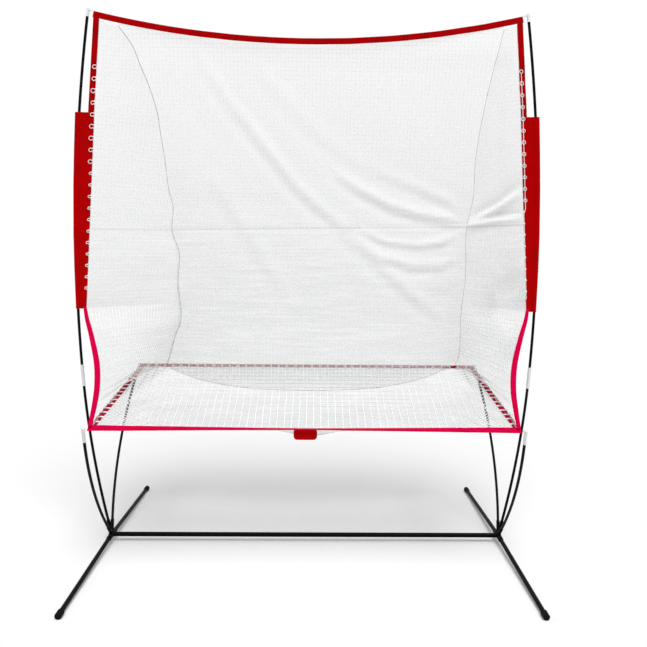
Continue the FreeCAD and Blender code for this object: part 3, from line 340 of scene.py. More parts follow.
def sheer_knit(name, clean, wear_and_shade, cover, thin_top=0.0, thin_back=1.0, thin_foot=1.0,
               lean_shade_weight=0.2):
    """Cover is the share of cloth to holes. The three thin values say how much of it goes, and
    the last how much painted shade and cover a leaning fold adds."""
    material, tree, shader = finish_of(name, 0.9, IOR=1.45, Specular_IOR_Level=0.05)
    weave = add(tree, "ShaderNodeUVMap", uv_map="weave").outputs["UV"]
    knit = sums(tree, "MAXIMUM", waves(tree, weave, KNIT, "X"), waves(tree, weave, KNIT, "Y"))
    place = place_of(tree)
    axes = add(tree, "ShaderNodeSeparateXYZ", {"Vector": place}).outputs
    # Painted shade: the knit is darker towards the bottom.
    low = span(tree, axes["Z"], 2.45, 0.95)
    rows = clouds(tree, stretched(tree, place, (5.0, 5.0, 66.0)), 1.0, 2.0)
    ripples = sums(tree, "MULTIPLY", sums(tree, "SUBTRACT", rows, 0.5), low)
    crease_shade = painted_crease_shade(tree, axes)
    gusset_shade = painted_gusset_shade(tree, place, axes)
    # Painted shade on folds: where the cloth leans forward and faces down, it is darker.
    lean_shade = add(tree, "ShaderNodeAttribute", attribute_name="lean_shade").outputs["Fac"]
    lean_shade = sums(tree, "MULTIPLY", lean_shade, span(tree, axes["Z"], 0.98, 1.10))

    # The tone is painted shade low down, on leaning folds, along the crease and in the gusset's cloud,
    # with the level ripples on top.
    tone = sums(tree, "MULTIPLY_ADD", ripples, 2.0, sums(tree, "ADD", low, gusset_shade))
    tone = sums(tree, "MULTIPLY_ADD", lean_shade, lean_shade_weight * 4, sums(tree, "ADD", tone, crease_shade))
    tone = add(tree, "ShaderNodeClamp", {"Value": tone}).outputs["Result"]

    share = span(tree, knit, 0.0, 1.0, cover - 0.025, cover + 0.02)
    share = sums(tree, "SUBTRACT", share, span(tree, axes["Z"], 1.75, 2.55, 0.0, thin_top))
    share = sums(tree, "MULTIPLY", share, span(tree, axes["Y"], 0.02, 0.26, 1.0, thin_back))
    share = sums(tree, "MULTIPLY", share, span(tree, axes["Z"], 0.92, 0.80, 1.0, thin_foot))
    # Painted shade on folds, along the crease and in the gusset's cloud also thickens the cover, as do
    # the ripples.
    for wear, weight in ((lean_shade, lean_shade_weight), (ripples, 0.24), (crease_shade, 0.30), (gusset_shade, 0.16)):
        share = sums(tree, "MULTIPLY_ADD", wear, weight, share)
    feed(tree, shader, Base_Color=blend_colours(tree, tone, clean, wear_and_shade), Alpha=share,
         Normal=bump_of(tree, rows, 0.25, 2 * MM))
    return material


fine_mesh = sheer_knit("white_sheer_knit", "#E8EAE9", "#C9CCCB", 0.42, thin_top=0.17,
                       thin_foot=0.5, lean_shade_weight=0.16)
side_mesh = sheer_knit("white_sheer_side_knit", "#E6E8E7", "#D2D5D4", 0.36, thin_foot=0.2,
                       lean_shade_weight=0.5)
# The tray's skin is greyer than the others: it is painted shade under the tray net.
tray_shade_knit = sheer_knit("grey_tray_knit_painted_shade", "#D8DADA", "#B4B6B6", 0.36, thin_back=0.7)

# %% [markdown]
# ## Finishes on the engineering model
# The rigid nodes keep their shape. The record says which material slot each node takes, so one
# small table gives every slot its finish.

# %% Dress the rigid nodes
SLOT_FINISH = {"coated_steel": steel, "fibreglass": rod, "bright_ferrule": aluminium,
               "spring_steel": spring_steel, "black_rubber": rubber, "tip_plastic": nylon,
               "red_webbing": red_webbing, "red_sleeve": red_cloth, "crimson_webbing": crimson_webbing,
               "white_net": net_twine, "white_cord": lacing_twine, "red_patch": patch_cloth}
for part in frame["record"]["subparts"]:
    for holder in frame["nodes"][part["node"]].material_slots:
        holder.material = SLOT_FINISH[part["material_slot"]]

# %% [markdown]
# ## Making a mesh piece
# Every soft piece below is written as points and faces. One function turns them into an object,
# stores the metre-true "weave" map, lets the piece ride on the frame and prints its size.

# %% Points and faces to a piece
def box_size(piece):
    """Size of a piece's box, for the printed notes."""
    corners = [Vector(corner) for corner in piece.bound_box]
    return [round(max(c[i] for c in corners) - min(c[i] for c in corners), 3) for i in range(3)]


def make_piece(name, points, faces, material, replaces=(), weave=None, smooth=True):
    """A mesh object that rides on the frame. weave gives each point's place on the cloth."""
    mesh = bpy.data.meshes.new(name)
    mesh.from_pydata([tuple(point) for point in points], [], faces)
    mesh.validate()
    if weave:
        layer = mesh.uv_layers.new(name="weave")
        for corner in mesh.loops:
            layer.data[corner.index].uv = weave[corner.vertex_index]
    mesh.polygons.foreach_set("use_smooth", [smooth] * len(mesh.polygons))
    mesh.materials.append(material)
    piece = bpy.data.objects.new(name, mesh)
    bpy.context.scene.collection.objects.link(piece)
    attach(piece, BODY)
    if replaces:
        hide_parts(*replaces)
    print(name, len(mesh.polygons), "faces, box", box_size(piece))
    return piece


# %% [markdown]
# ## Sweeping a section along a path
# Webbing, cords and net twine are all one small section carried along a line. At each station the
# sweep needs two directions across the line. For round cord they can turn freely, so each one is
# carried on from the station before. For flat webbing they are given.

# %% Sweep helpers
def stations(path):
    """Tangents of a path, averaged at each inner point."""
    ahead = [(after - before).normalized() for before, after in zip(path, path[1:])]
    inner = [(first + second).normalized() for first, second in zip(ahead, ahead[1:])]
    return [ahead[0], *inner, ahead[-1]]


def ring_faces(start, rings, count, closed=False, caps=True):
    """Quads between rings of count points whose first point has index start."""
    faces = []
    for ring in range(rings if closed else rings - 1):
        here, there = start + ring * count, start + (ring + 1) % rings * count
        for number in range(count):
            following = (number + 1) % count
            faces.append((here + number, here + following, there + following, there + number))
    if caps and not closed:
        faces.append(tuple(range(start + count - 1, start - 1, -1)))
        last = start + (rings - 1) * count
        faces.append(tuple(range(last, last + count)))
    return faces


def cord(points, faces, path, radius, sides=6, closed=False, front=None):
    """Add a round cord along a path to the lists of points and faces. radius is one number or
    one for each point. With front, the cord has a flat face on that side."""
    tangents = stations(path)
    if closed:
        count = len(path)
        tangents = [(path[(i + 1) % count] - path[i - 1]).normalized() for i in range(count)]
    across = front or tangents[0].orthogonal()
    radii = radius if isinstance(radius, list) else [radius] * len(path)
    start = len(points)
    for place, tangent, size in zip(path, tangents, radii):
        across = (across - tangent * across.dot(tangent)).normalized()
        other = tangent.cross(across)
        for number in range(sides):
            turn = 2 * math.pi * (number + (0.5 if front else 0.0)) / sides
            points.append(place + (across * math.cos(turn) + other * math.sin(turn)) * size)
    faces.extend(ring_faces(start, len(path), sides, closed))


def smooth_path(knots, step):
    """Points about step apart on a smooth curve through the knots."""
    path = []
    ends = [knots[0] * 2 - knots[1], *knots, knots[-1] * 2 - knots[-2]]
    for number in range(1, len(ends) - 2):
        a, b, c, d = ends[number - 1:number + 3]
        count = max(1, round((c - b).length / step))
        for share in (piece / count for piece in range(count)):
            path.append(0.5 * ((2 * b) + (c - a) * share + (2 * a - 5 * b + 4 * c - d) * share ** 2
                               + (3 * b - a - 3 * c + d) * share ** 3))
    return [*path, knots[-1]]


def level(value, table):
    """Straight-line reading of a table of (height, value) pairs, lowest first."""
    if value <= table[0][0]:
        return table[0][1]
    for (low, first), (high, second) in zip(table, table[1:]):
        if value <= high:
            return first + (second - first) * (value - low) / (high - low)
    return table[-1][1]


# %% [markdown]
# ## Webbing
# A webbing border is about 30 mm wide and 2 mm thick, folded over the net's edge and sewn with
# two rows of stitches. The stitches pull it in, so between the rows it stands a little proud, and
# the pull puckers it along its length. Its section has 12 points a face: enough for the rounded
# edges, the two sewn channels and the crown between them.

# %% Webbing strip
BAND = 30 * MM
BAND_HALF = 1.0 * MM
SEAM_INSET = 4 * MM
STATION = 10 * MM      # distance between two sections along a strip
PUCKER_RISE = 0.7 * MM
SWAY = 0.8 * MM


def band_section():
    """Offsets (across, out) round one webbing strip, front face first."""
    across = [-15, -14.2, -12.5, -11, -9.2, -4, 4, 9.2, 11, 12.5, 14.2, 15]
    height = [0.25, 0.75, 1.0, 0.62, 1.0, 1.12, 1.12, 1.0, 0.62, 1.0, 0.75, 0.25]
    front = [(x * MM, y * BAND_HALF) for x, y in zip(across, height)]
    return front + [(x, -y) for x, y in reversed(front)]


def webbing(name, path, widths, material, replaces, seed, breadth=None):
    """A webbing strip along path; widths give the direction across it at each station, and
    breadth how much of its full width is spread out there."""
    section = band_section()
    breadth = breadth or [1.0] * len(path)
    tangents = stations(path)
    points, weave = [], []
    run = 0.0
    for number, (place, tangent, width) in enumerate(zip(path, tangents, widths)):
        width = (width - tangent * width.dot(tangent)).normalized()
        face = width.cross(tangent).normalized()
        if number:
            run += (place - path[number - 1]).length
        pucker = noise.noise(Vector((run * 38, seed, 0))) * PUCKER_RISE
        sway = noise.noise(Vector((run * 9, seed, 5))) * SWAY
        for across, out in section:
            crown = 1 + 0.25 * noise.noise(Vector((run * 55, across * 160, seed)))
            edge = abs(across) / (BAND / 2)
            points.append(place + width * (across * breadth[number] + sway)
                          + face * (out * crown + pucker * edge ** 2))
            weave.append((run, across))
    faces = ring_faces(0, len(path), len(section))
    make_piece(name, points, faces, material, replaces, weave)
    sewn = stitch_rows(name + "_stitches", path, widths, breadth)
    print(name, "length", round(run, 3), "stitches", sewn)


STITCH = 5.0 * MM
STITCH_PITCH = 9.0 * MM


def stitch(points, faces, middle, along, across, out):
    """One stitch: a low six-pointed grain of thread that dips into the webbing at its ends."""
    start = len(points)
    points.extend((middle - along * STITCH / 2, middle + along * STITCH / 2,
                   middle + across * 0.55 * MM, middle - across * 0.55 * MM,
                   middle + out * 0.6 * MM, middle - out * 0.5 * MM))
    for a, b in ((2, 4), (4, 3), (3, 5), (5, 2)):
        faces.append((start, start + b, start + a))
        faces.append((start + 1, start + a, start + b))


def stitch_rows(name, path, widths, breadth):
    """Two rows of stitches on both faces of a strip, all in one piece."""
    points, faces = [], []
    tangents = stations(path)
    left_over = 0.0
    sewn = 0
    for number in range(len(path) - 1):
        start, end = path[number], path[number + 1]
        length = (end - start).length
        place = left_over
        while place < length:
            share = place / length
            width = widths[number].lerp(widths[number + 1], share)
            along = tangents[number].lerp(tangents[number + 1], share).normalized()
            width = (width - along * width.dot(along)).normalized()
            face = width.cross(along).normalized()
            for row in (-1, 1):
                for out in (-1, 1):
                    inset = (BAND / 2 - SEAM_INSET) * breadth[number]
                    middle = start.lerp(end, share) + width * row * inset
                    stitch(points, faces, middle + face * out * 0.75 * BAND_HALF, along, width,
                           face * out)
                    sewn += 1
            place += STITCH_PITCH
        left_over = place - length
    make_piece(name, points, faces, red_thread)
    return sewn


# %% [markdown]
# ## The top border
# The top band hangs between the two tall poles and sags under the net's pull. A strip in even
# tension sags in a circular arc for such a shallow curve, so two numbers, its half width and its
# sag, give the whole line.

# %% Top band
NET_HALF = 1.067
NET_TOP = 2.722
TOP_SAG = 0.118
TOP_RADIUS = (NET_HALF ** 2 + TOP_SAG ** 2) / (2 * TOP_SAG)


def top_band_height(x):
    """Height of the top band's middle line at x."""
    lowest = NET_TOP - BAND / 2 - TOP_SAG
    return lowest + TOP_RADIUS - math.sqrt(TOP_RADIUS ** 2 - x ** 2)


top_path = [Vector((x / 120 * NET_HALF, 0, top_band_height(x / 120 * NET_HALF)))
            for x in range(-120, 121)]
webbing("top_border", top_path, [UP] * len(top_path), red_webbing, ("top_band",), 1)

# %% [markdown]
# ## The side borders
# From each top corner a straight band runs down to the sleeve. Below the sleeve the border turns
# crimson and swings forward to the tray's front corner in a long hollow curve, because the net
# behind it pulls it inwards.

# %% Side bands
HEM_TOP = Vector((1.089, 0, 2.232))
CORNER = Vector((NET_HALF - BAND / 2, 0, NET_TOP - BAND * 1.05))


def mirrored(points, side):
    return [Vector((point.x * side, point.y, point.z)) for point in points]


def even_path(start, end):
    count = max(2, round((end - start).length / STATION))
    return [start.lerp(end, share / count) for share in range(count + 1)]


for word, side in SIDES:
    path = mirrored(even_path(HEM_TOP, CORNER), side)
    across = [Vector((side, 0, 0.08))] * len(path)
    webbing(f"side_border_{word}", path, across, red_webbing,
            (f"side_band_{word}",), 2 + side)

LOWER_KNOTS = [Vector((1.1455, 0.0, 1.258)), Vector((1.125, -0.032, 1.193)),
               Vector((1.083, -0.097, 1.105)), Vector((1.034, -0.19, 0.995)),
               Vector((1.001, -0.3, 0.898)), Vector((0.985, -0.41, 0.818)),
               Vector((0.974, -0.512, 0.756))]
LOWER_PLANE = Vector((-0.388, -0.551, 0.739))


def gathered(count):
    """Full width in the middle of a strip, gathered to half at each end."""
    return [0.5 + 0.45 * math.sin(math.pi * number / (count - 1)) ** 0.6 for number in range(count)]


for word, side in SIDES:
    path = smooth_path(mirrored(LOWER_KNOTS, side), STATION)
    plane = Vector((LOWER_PLANE.x * side, LOWER_PLANE.y, LOWER_PLANE.z))
    across = [tangent.cross(plane).normalized() for tangent in stations(path)]
    webbing(f"lower_border_{word}", path, across, crimson_webbing,
            (f"lower_side_band_{word}",), 6 + side, gathered(len(path)))

# %% [markdown]
# ## The tray's border
# Four crimson bands lie flat in the tray's rim, which slopes down to the front. Where the tray's
# corners hang from the short poles the front and rear bands run through and the side bands butt
# against them.

# %% Tray bands
TRAY_HALF = 0.987
TRAY_DEEP = 0.518
RIM_FRONT, RIM_REAR = 0.743, 0.871
SLOPE = math.atan2(RIM_REAR - RIM_FRONT, 2 * TRAY_DEEP)
BACKWARD = Vector((0, math.cos(SLOPE), math.sin(SLOPE)))


def rim_height(y):
    return RIM_FRONT + (RIM_REAR - RIM_FRONT) * (y / TRAY_DEEP + 1) / 2


def rolled(angle):
    """The direction across a tray band that has rolled by an angle about X."""
    return Vector((0, math.cos(SLOPE + angle), math.sin(SLOPE + angle)))


FRONT_ROLL = math.radians(40)
MIDDLE_ROLL = math.radians(-8)
REAR_ROLL = math.radians(20)
for place, front in (("front", -1), ("rear", 1)):
    y = front * TRAY_DEEP
    middle = Vector((0, y, rim_height(y))) - BACKWARD * front * BAND / 2
    path = even_path(middle - Vector((TRAY_HALF, 0, 0)), middle + Vector((TRAY_HALF, 0, 0)))
    roll = [MIDDLE_ROLL + (FRONT_ROLL - MIDDLE_ROLL) * abs(point.x / TRAY_HALF) ** 1.3
            if front < 0 else REAR_ROLL for point in path]
    # The rear band takes the darker copy of the crimson webbing as painted shade.
    webbing(f"tray_{place}_border", path, [rolled(angle) for angle in roll],
            crimson_webbing if front < 0 else shaded_rim_webbing,
            (f"tray_{place}_band",), 20 + front)
for word, side in SIDES:
    start = Vector((side * (TRAY_HALF - BAND / 2), -TRAY_DEEP, RIM_FRONT)) + BACKWARD * BAND
    end = Vector((side * (TRAY_HALF - BAND / 2), TRAY_DEEP, RIM_REAR)) - BACKWARD * BAND
    path = even_path(start, end)
    # These take the darker copy of the crimson webbing as painted shade.
    webbing(f"tray_side_border_{word}", path, [RIGHT] * len(path), shaded_rim_webbing,
            (f"tray_side_band_{word}",), 30 + side)

# %% [markdown]
# ## Lashing
# The tray's net is tied to the side and rear bands with white cord: two fat turns round the
# webbing at every mesh or two. From a step away they break the band up into short dashes. Each
# turn is a closed flattened ring, and all the turns on one band are one piece.

# %% Lashing turns
LASHING = 3.0 * MM     # radius of the cord, and half the distance between the two turns
SIDE_PITCH, REAR_PITCH = 60 * MM, 48 * MM
RING_STOPS = 20


def ring_round(middle, along, across):
    """A flattened ring round a band: straight across both faces, round at the edges."""
    face = across.cross(along).normalized()
    ring = []
    for number in range(RING_STOPS):
        turn = 2 * math.pi * number / RING_STOPS
        wide = (BAND / 2 + 1.5 * MM) * max(-1, min(1, 1.25 * math.cos(turn)))
        ring.append(middle + across * wide + face * math.sin(turn) * 3.4 * MM)
    return ring


def lashing(name, start, end, across, pitch):
    along = (end - start).normalized()
    count = int((end - start).length / pitch)
    points, faces = [], []
    for number in range(1, count):
        middle = start.lerp(end, number / count)
        slip = noise.noise(middle * 30) * 9 * MM
        for turn in (-1, 1):
            cord(points, faces, ring_round(middle + along * (slip + turn * LASHING), along, across),
                 LASHING, 5, closed=True)
    make_piece(name, points, faces, lacing_twine)
    return 2 * (count - 1)


for word, side in SIDES:
    start = Vector((side * (TRAY_HALF - BAND / 2), -TRAY_DEEP + BAND, rim_height(BAND - TRAY_DEEP)))
    end = Vector((side * (TRAY_HALF - BAND / 2), TRAY_DEEP - BAND, rim_height(TRAY_DEEP - BAND)))
    print("lashing turns", word, lashing(f"side_lashing_{word}", start, end, RIGHT,
                                         SIDE_PITCH))
start = Vector((-TRAY_HALF, TRAY_DEEP, RIM_REAR)) - BACKWARD * BAND / 2
end = Vector((TRAY_HALF, TRAY_DEEP, RIM_REAR)) - BACKWARD * BAND / 2
print("lashing turns rear", lashing("rear_lashing", start, end, rolled(REAR_ROLL),
                                     REAR_PITCH))

# %% [markdown]
# ## The pole sleeves
# Each tall pole runs through a flat cloth pocket, about 95 mm wide at the top and half that at
# the bottom. The pole presses it out round, and the rest hangs flat and slightly slack between
# the pole and the sewn hem. The pocket is a loft of closed rings. Its slack is drawn with long
# soft folds that run with the pull of the cloth, from the hem down to the pole.

# %% Sleeves
SLEEVE_LOW, SLEEVE_HIGH = 1.245, 2.232
OUTER_EDGE = [(1.245, 1.189), (1.45, 1.192), (1.62, 1.192), (1.87, 1.186), (2.05, 1.178),
              (2.232, 1.168)]
POLE_LINE = [(1.245, 1.180), (1.5, 1.1824), (1.7965, 1.1757), (2.0, 1.1653), (2.232, 1.148)]
HEM_LINE = [(1.245, 1.138), (2.232, 1.074)]
COVER = 10.4 * MM      # from the pole's middle to the outside of the cloth over it
HEM_HALF = 1.0 * MM    # half the thickness at the sewn hem
DRAPE = 2.6 * MM       # how far the slack cloth swings
STOPS = 22             # points across each face
RINGS = 110


def sleeve_ring(height, side, seed):
    """Closed ring of points round the pocket at one height, from the hem out and back."""
    hem, pole, outer = level(height, HEM_LINE), level(height, POLE_LINE), level(height, OUTER_EDGE)
    faces = []
    for face in (-1, 1):
        ring = []
        for number in range(STOPS):
            share = 1 - (1 - number / (STOPS - 1)) ** 1.3
            x = hem + (outer - hem) * share
            bulge = COVER * math.exp(-((x - pole) / (1.7 * COVER)) ** 2)
            flat = HEM_HALF + 1.2 * MM * math.sin(math.pi * min(1, share))
            drape = noise.noise(Vector((x * 28 + height * 3.5, height * 5 - x * 8, seed + face)))
            depth = max(bulge, flat) + drape * DRAPE * math.sin(math.pi * share) ** 0.7
            depth *= min(1.0, 0.35 + (outer - x) / (6 * MM))
            ring.append(Vector((side * x, face * max(depth, 0.5 * MM), height)))
        faces.append(ring)
    front, back = faces
    return front + back[::-1]


def make_sleeve(word, side):
    points, weave = [], []
    for number in range(RINGS):
        height = SLEEVE_LOW + (SLEEVE_HIGH - SLEEVE_LOW) * (number / (RINGS - 1))
        ring = sleeve_ring(height, side, 40 + side)
        points.extend(ring)
        weave.extend((height, abs(point.x)) for point in ring)
    sleeve = make_piece(f"pole_sleeve_{word}", points, ring_faces(0, RINGS, 2 * STOPS, caps=False),
                        red_cloth, (f"sleeve_{word}",), weave)
    wall = sleeve.modifiers.new("cloth_thickness", "SOLIDIFY")
    wall.thickness = 0.9 * MM
    wall.offset = -1


for word, side in SIDES:
    make_sleeve(word, side)

# %% [markdown]
# ## Hems on the sleeve
# The pocket's mouths are turned over and sewn, which gives each a thicker rolled edge. Two rows
# of stitches run down beside the hem, where front and back are sewn together over the net.

# %% Sleeve hems and stitches
def sleeve_trim(word, side):
    points, faces = [], []
    for height in (SLEEVE_LOW + 1.2 * MM, SLEEVE_HIGH - 1.2 * MM):
        ring = sleeve_ring(height, side, 40 + side)
        cord(points, faces, ring, 1.3 * MM, 6, closed=True)
    make_piece(f"sleeve_mouths_{word}", points, faces, red_cloth,
               weave=[(point.z, point.x) for point in points])
    points, faces = [], []
    count = int((SLEEVE_HIGH - SLEEVE_LOW) / STITCH_PITCH)
    for inset in (5 * MM, 13 * MM):
        for number in range(1, count):
            height = SLEEVE_LOW + number * STITCH_PITCH
            x = level(height, HEM_LINE) + inset
            ring = sleeve_ring(height, side, 40 + side)
            front = [point for point in ring if point.y < 0]
            near = min(front, key=lambda point: abs(abs(point.x) - x))
            for out in (-1, 1):
                stitch(points, faces, Vector((near.x, near.y * -out, height)), UP,
                       RIGHT, Vector((0, out, 0)))
    make_piece(f"sleeve_stitches_{word}", points, faces, red_thread)


for word, side in SIDES:
    sleeve_trim(word, side)

# %% [markdown]
# ## The corner seams
# The back panel and the two side gussets meet in a corded seam that runs from the top band down
# into the tray. The cord is drawn through by hand, so it wanders, and no two are alike: the left
# one here wanders more than the right.

# %% Seam lines
SEAM_KNOTS = {
    "left": [(-0.947, 0.004, 2.655), (-0.885, 0.03, 2.567), (-0.851, 0.056, 2.474),
             (-0.817, 0.088, 2.383), (-0.787, 0.131, 2.262), (-0.778, 0.167, 2.161),
             (-0.765, 0.212, 2.017), (-0.757, 0.25, 1.884), (-0.739, 0.28, 1.779),
             (-0.751, 0.306, 1.654), (-0.718, 0.335, 1.528), (-0.734, 0.372, 1.363),
             (-0.727, 0.42, 1.166), (-0.768, 0.446, 1.046), (-0.821, 0.48, 0.886)],
    "right": [(0.975, 0.004, 2.66), (0.955, 0.02, 2.56), (0.936, 0.063, 2.451),
              (0.911, 0.13, 2.263), (0.895, 0.2, 2.051), (0.9, 0.258, 1.843),
              (0.878, 0.305, 1.664), (0.892, 0.36, 1.417), (0.884, 0.415, 1.183),
              (0.89, 0.458, 0.966), (0.872, 0.48, 0.884)],
}
SEAMS = {word: smooth_path([Vector(knot) for knot in knots], 14 * MM)
         for word, knots in SEAM_KNOTS.items()}


def seam_at(word, height):
    """The seam's x and y at a height."""
    line = SEAMS[word]
    for above, below in zip(line, line[1:]):
        if below.z <= height <= above.z:
            share = (above.z - height) / max(above.z - below.z, 1e-6)
            return above.lerp(below, share)
    return line[0] if height > line[0].z else line[-1]


for word, line in SEAMS.items():
    print("seam", word, "points", len(line), "length",
          round(sum((b - a).length for a, b in zip(line, line[1:])), 3))

# %% [markdown]
# ## The tray's floor line and the foot of the back panel
# The tray net hangs from its rim under its own weight and is lowest a third of the way back. Just
# behind the middle of the front band it has a small slack belly. The back panel is sewn to it
# along a slack line that dips in the middle. Both are written as small functions of place, so
# that every piece that touches the net can ask for the same surface.

# %% Tray surface
LOW_Y, LOW_Z = -0.15, 0.650
RIM_EASE = 0.26        # distance over which the floor drops away from a side band
BELLY = 0.036          # depth of the slack belly
BELLY_HALF = 0.13      # half its width along the front band
BELLY_BACK = 0.16      # how far it reaches to the back


def tray_height(x, y):
    """Height of the tray net at a place."""
    inner_x, inner_y = TRAY_HALF - BAND, TRAY_DEEP - BAND
    front_z, rear_z = rim_height(-inner_y), rim_height(inner_y)
    if y < LOW_Y:
        share = (LOW_Y - y) / (inner_y + LOW_Y)
        base = LOW_Z + (front_z - LOW_Z) * share ** 1.15
    else:
        share = (y - LOW_Y) / (inner_y - LOW_Y)
        base = LOW_Z + (rear_z - LOW_Z) * share ** 1.1
    rim = rim_height(y)
    reach = min(1.0, (inner_x - abs(x)) / RIM_EASE)
    ease = 1 - (1 - max(reach, 0)) ** 1.6
    behind = y + inner_y
    slack = max(0.0, min(1.0, behind / 0.03)) * math.exp(-(behind / BELLY_BACK) ** 2)
    belly = BELLY * math.exp(-((x - 0.02) / BELLY_HALF) ** 2) * slack
    return rim + (base - rim) * ease - belly


FOOT_HALF = 0.85       # half the width of the panel's foot
FOOT_MIDDLE = 0.228    # how far back the foot lies in the middle
FOOT_SWEEP = 0.25      # how much further back it lies at its ends


def foot_line(x):
    """Place where the back panel is sewn to the tray net."""
    share = min(1.0, abs(x) / FOOT_HALF)
    y = FOOT_MIDDLE + FOOT_SWEEP * share ** 2.6
    return Vector((x, y, tray_height(x, y) + 6 * MM + 0.012 * share ** 6))


print("tray floor", round(tray_height(0, LOW_Y), 3), "panel foot", round(foot_line(0).z, 3))

# %% [markdown]
# ## The back panel's surface
# The panel hangs from the straight top, leans back to the seams and comes forward again at its
# foot. Its folds are real shape: long slanting folds that run down from the top left
# corner, a crease across the middle from how it was packed, and pinched folds that gather where
# the crease meets the right-hand seam. The knit's material also paints shade on the folds and along the
# crease.

# %% Back panel surface
PINCH = Vector((0.90, 1.692))
FOLDS = (
    ("long fold from the top left", 14 * MM, 0.034,
     ((-0.55, 2.56), (-0.49, 2.44), (-0.40, 2.31), (-0.30, 2.19), (-0.20, 2.07), (-0.07, 1.91),
      (0.07, 1.78), (0.20, 1.69))),
    ("its shallow neighbour", 6 * MM, 0.045,
     ((-0.34, 2.57), (-0.25, 2.48), (-0.16, 2.38), (0.0, 2.22), (0.18, 2.08), (0.34, 1.98))),
    ("lower left fold", 7 * MM, 0.045,
     ((-0.50, 1.93), (-0.37, 1.73), (-0.24, 1.51), (-0.08, 1.25))),
    ("fold above the crease", 7 * MM, 0.030,
     ((0.40, 1.97), (0.61, 1.89), (0.78, 1.82), (0.86, 1.76))),
    ("main pinch fold", 15 * MM, 0.030,
     ((0.17, 1.955), (0.28, 1.885), (0.45, 1.80), (0.61, 1.755), (0.78, 1.725), (0.88, 1.70))),
    ("first fold under the crease", 9 * MM, 0.021,
     ((0.30, 1.66), (0.43, 1.60), (0.60, 1.585), (0.74, 1.60), (0.86, 1.65))),
    ("second fold under the crease", 11 * MM, 0.030,
     ((0.29, 1.60), (0.40, 1.52), (0.58, 1.475), (0.74, 1.475), (0.84, 1.52))),
    ("fold down to the lower right", 8 * MM, 0.036,
     ((0.18, 1.66), (0.35, 1.52), (0.58, 1.32), (0.76, 1.18))),
)
FOLD_LINES = [(height, width, [Vector(knot) for knot in knots])
              for _, height, width, knots in FOLDS]
PUCKERS = 15           # how finely the pinch fans out
PUCKER = 0.035         # height of its puckers for each metre from the pinch
FAR = 9.0              # further than any spot is from a fold


def from_line(spot, line):
    """Signed distance of a spot from a line of points, plus to the upper right, and the share
    of the line at which it is nearest."""
    nearest, side, along = FAR, 1, 0.0
    for number, (start, end) in enumerate(zip(line, line[1:])):
        run = end - start
        share = max(0.0, min(1.0, (spot - start).dot(run) / run.length_squared))
        away = spot - (start + run * share)
        if away.length < nearest:
            nearest = away.length
            side = 1 if run.x * away.y - run.y * away.x > 0 else -1
            along = (number + share) / (len(line) - 1)
    return nearest * side, along


def ridge(spot, line, height, width, tapered=True):
    """A soft ridge along a line with a shallow valley under it. It dies away at both ends."""
    away, along = from_line(spot, line)
    away /= width
    if abs(away) > 4:
        return 0.0
    taper = math.sin(math.pi * (0.08 + 0.84 * along)) ** 0.7 if tapered else 1.0
    return height * taper * (math.exp(-away ** 2) - 0.6 * math.exp(-(away + 1.4) ** 2))


def folds(x, z):
    """How far the panel stands forward of its mean surface."""
    spot = Vector((x, z))
    out = sum(ridge(spot, line, height, width) for height, width, line in FOLD_LINES)
    out += 12 * MM * noise.noise(Vector((x * 2.1 + z * 1.4, z * 1.5, 3)))
    away = PINCH - spot
    reach = away.length
    angle = math.atan2(away.y, away.x)
    fan = math.exp(-(angle / 0.6) ** 2 - (reach / 0.2) ** 2) * min(1.0, reach / 0.05)
    out += PUCKER * reach * fan * math.sin(PUCKERS * angle + 0.9)
    return out - 2 * MM * math.exp(-((z - CREASE - CREASE_RISE * x) / 0.012) ** 2)


def back_point(x, z):
    """Point of the back panel at (x, z)."""
    left, right = seam_at("left", z), seam_at("right", z)
    share = (x - left.x) / (right.x - left.x)
    y = left.y + (right.y - left.y) * share
    foot = foot_line(x)
    gather = max(0.0, 1 - (z - foot.z) / 1.5)
    y += (foot.y - seam_at("left" if x < 0 else "right", foot.z).y) * gather ** 1.8
    edge = min(1.0, 12 * share * (1 - share)) if 0 < share < 1 else 0.0
    high = min(1.0, max(0.0, (top_band_height(x) - z) / 0.2))
    return Vector((x, y - folds(x, z) * edge * high, z))


print("panel middle", [round(v, 3) for v in back_point(0, 1.7)])

# %% [markdown]
# ## A sheer skin
# The knit between the twines is one thin skin: a grid of points that follows the panel from edge
# to edge. It is cloth, held flat by its border, and the area of each skin is printed.

# %% Skin helper
LEAN_ROWS = 12         # rows up and down over which the mean lean is taken
LEAN_LEAST, LEAN_MOST = -0.4, 0.6


def grid_faces(rows, columns, base=0):
    """Quads over a grid of rows by columns points, the first of which has index base."""
    return [(base + r * columns + c, base + r * columns + c + 1,
             base + (r + 1) * columns + c + 1, base + (r + 1) * columns + c)
            for r in range(rows - 1) for c in range(columns - 1)]


def leaning(grid):
    """How far each point of a grid leans forward over what is under it, less the mean for the
    stretch of cloth about it, so that only folds count. The knit paints shade on folds from it."""
    last = len(grid) - 1
    steep = []
    for r in range(len(grid)):
        below, above = grid[max(r - 1, 0)], grid[min(r + 1, last)]
        steep.append([(low.y - high.y) / max(high.z - low.z, 1 * MM)
                      for low, high in zip(below, above)])
    found = []
    for r, row in enumerate(steep):
        near = steep[max(r - LEAN_ROWS, 0):min(r + LEAN_ROWS, last) + 1]
        found += [max(LEAN_LEAST, min(LEAN_MOST, value - sum(line[c] for line in near) / len(near)))
                  for c, value in enumerate(row)]
    return found


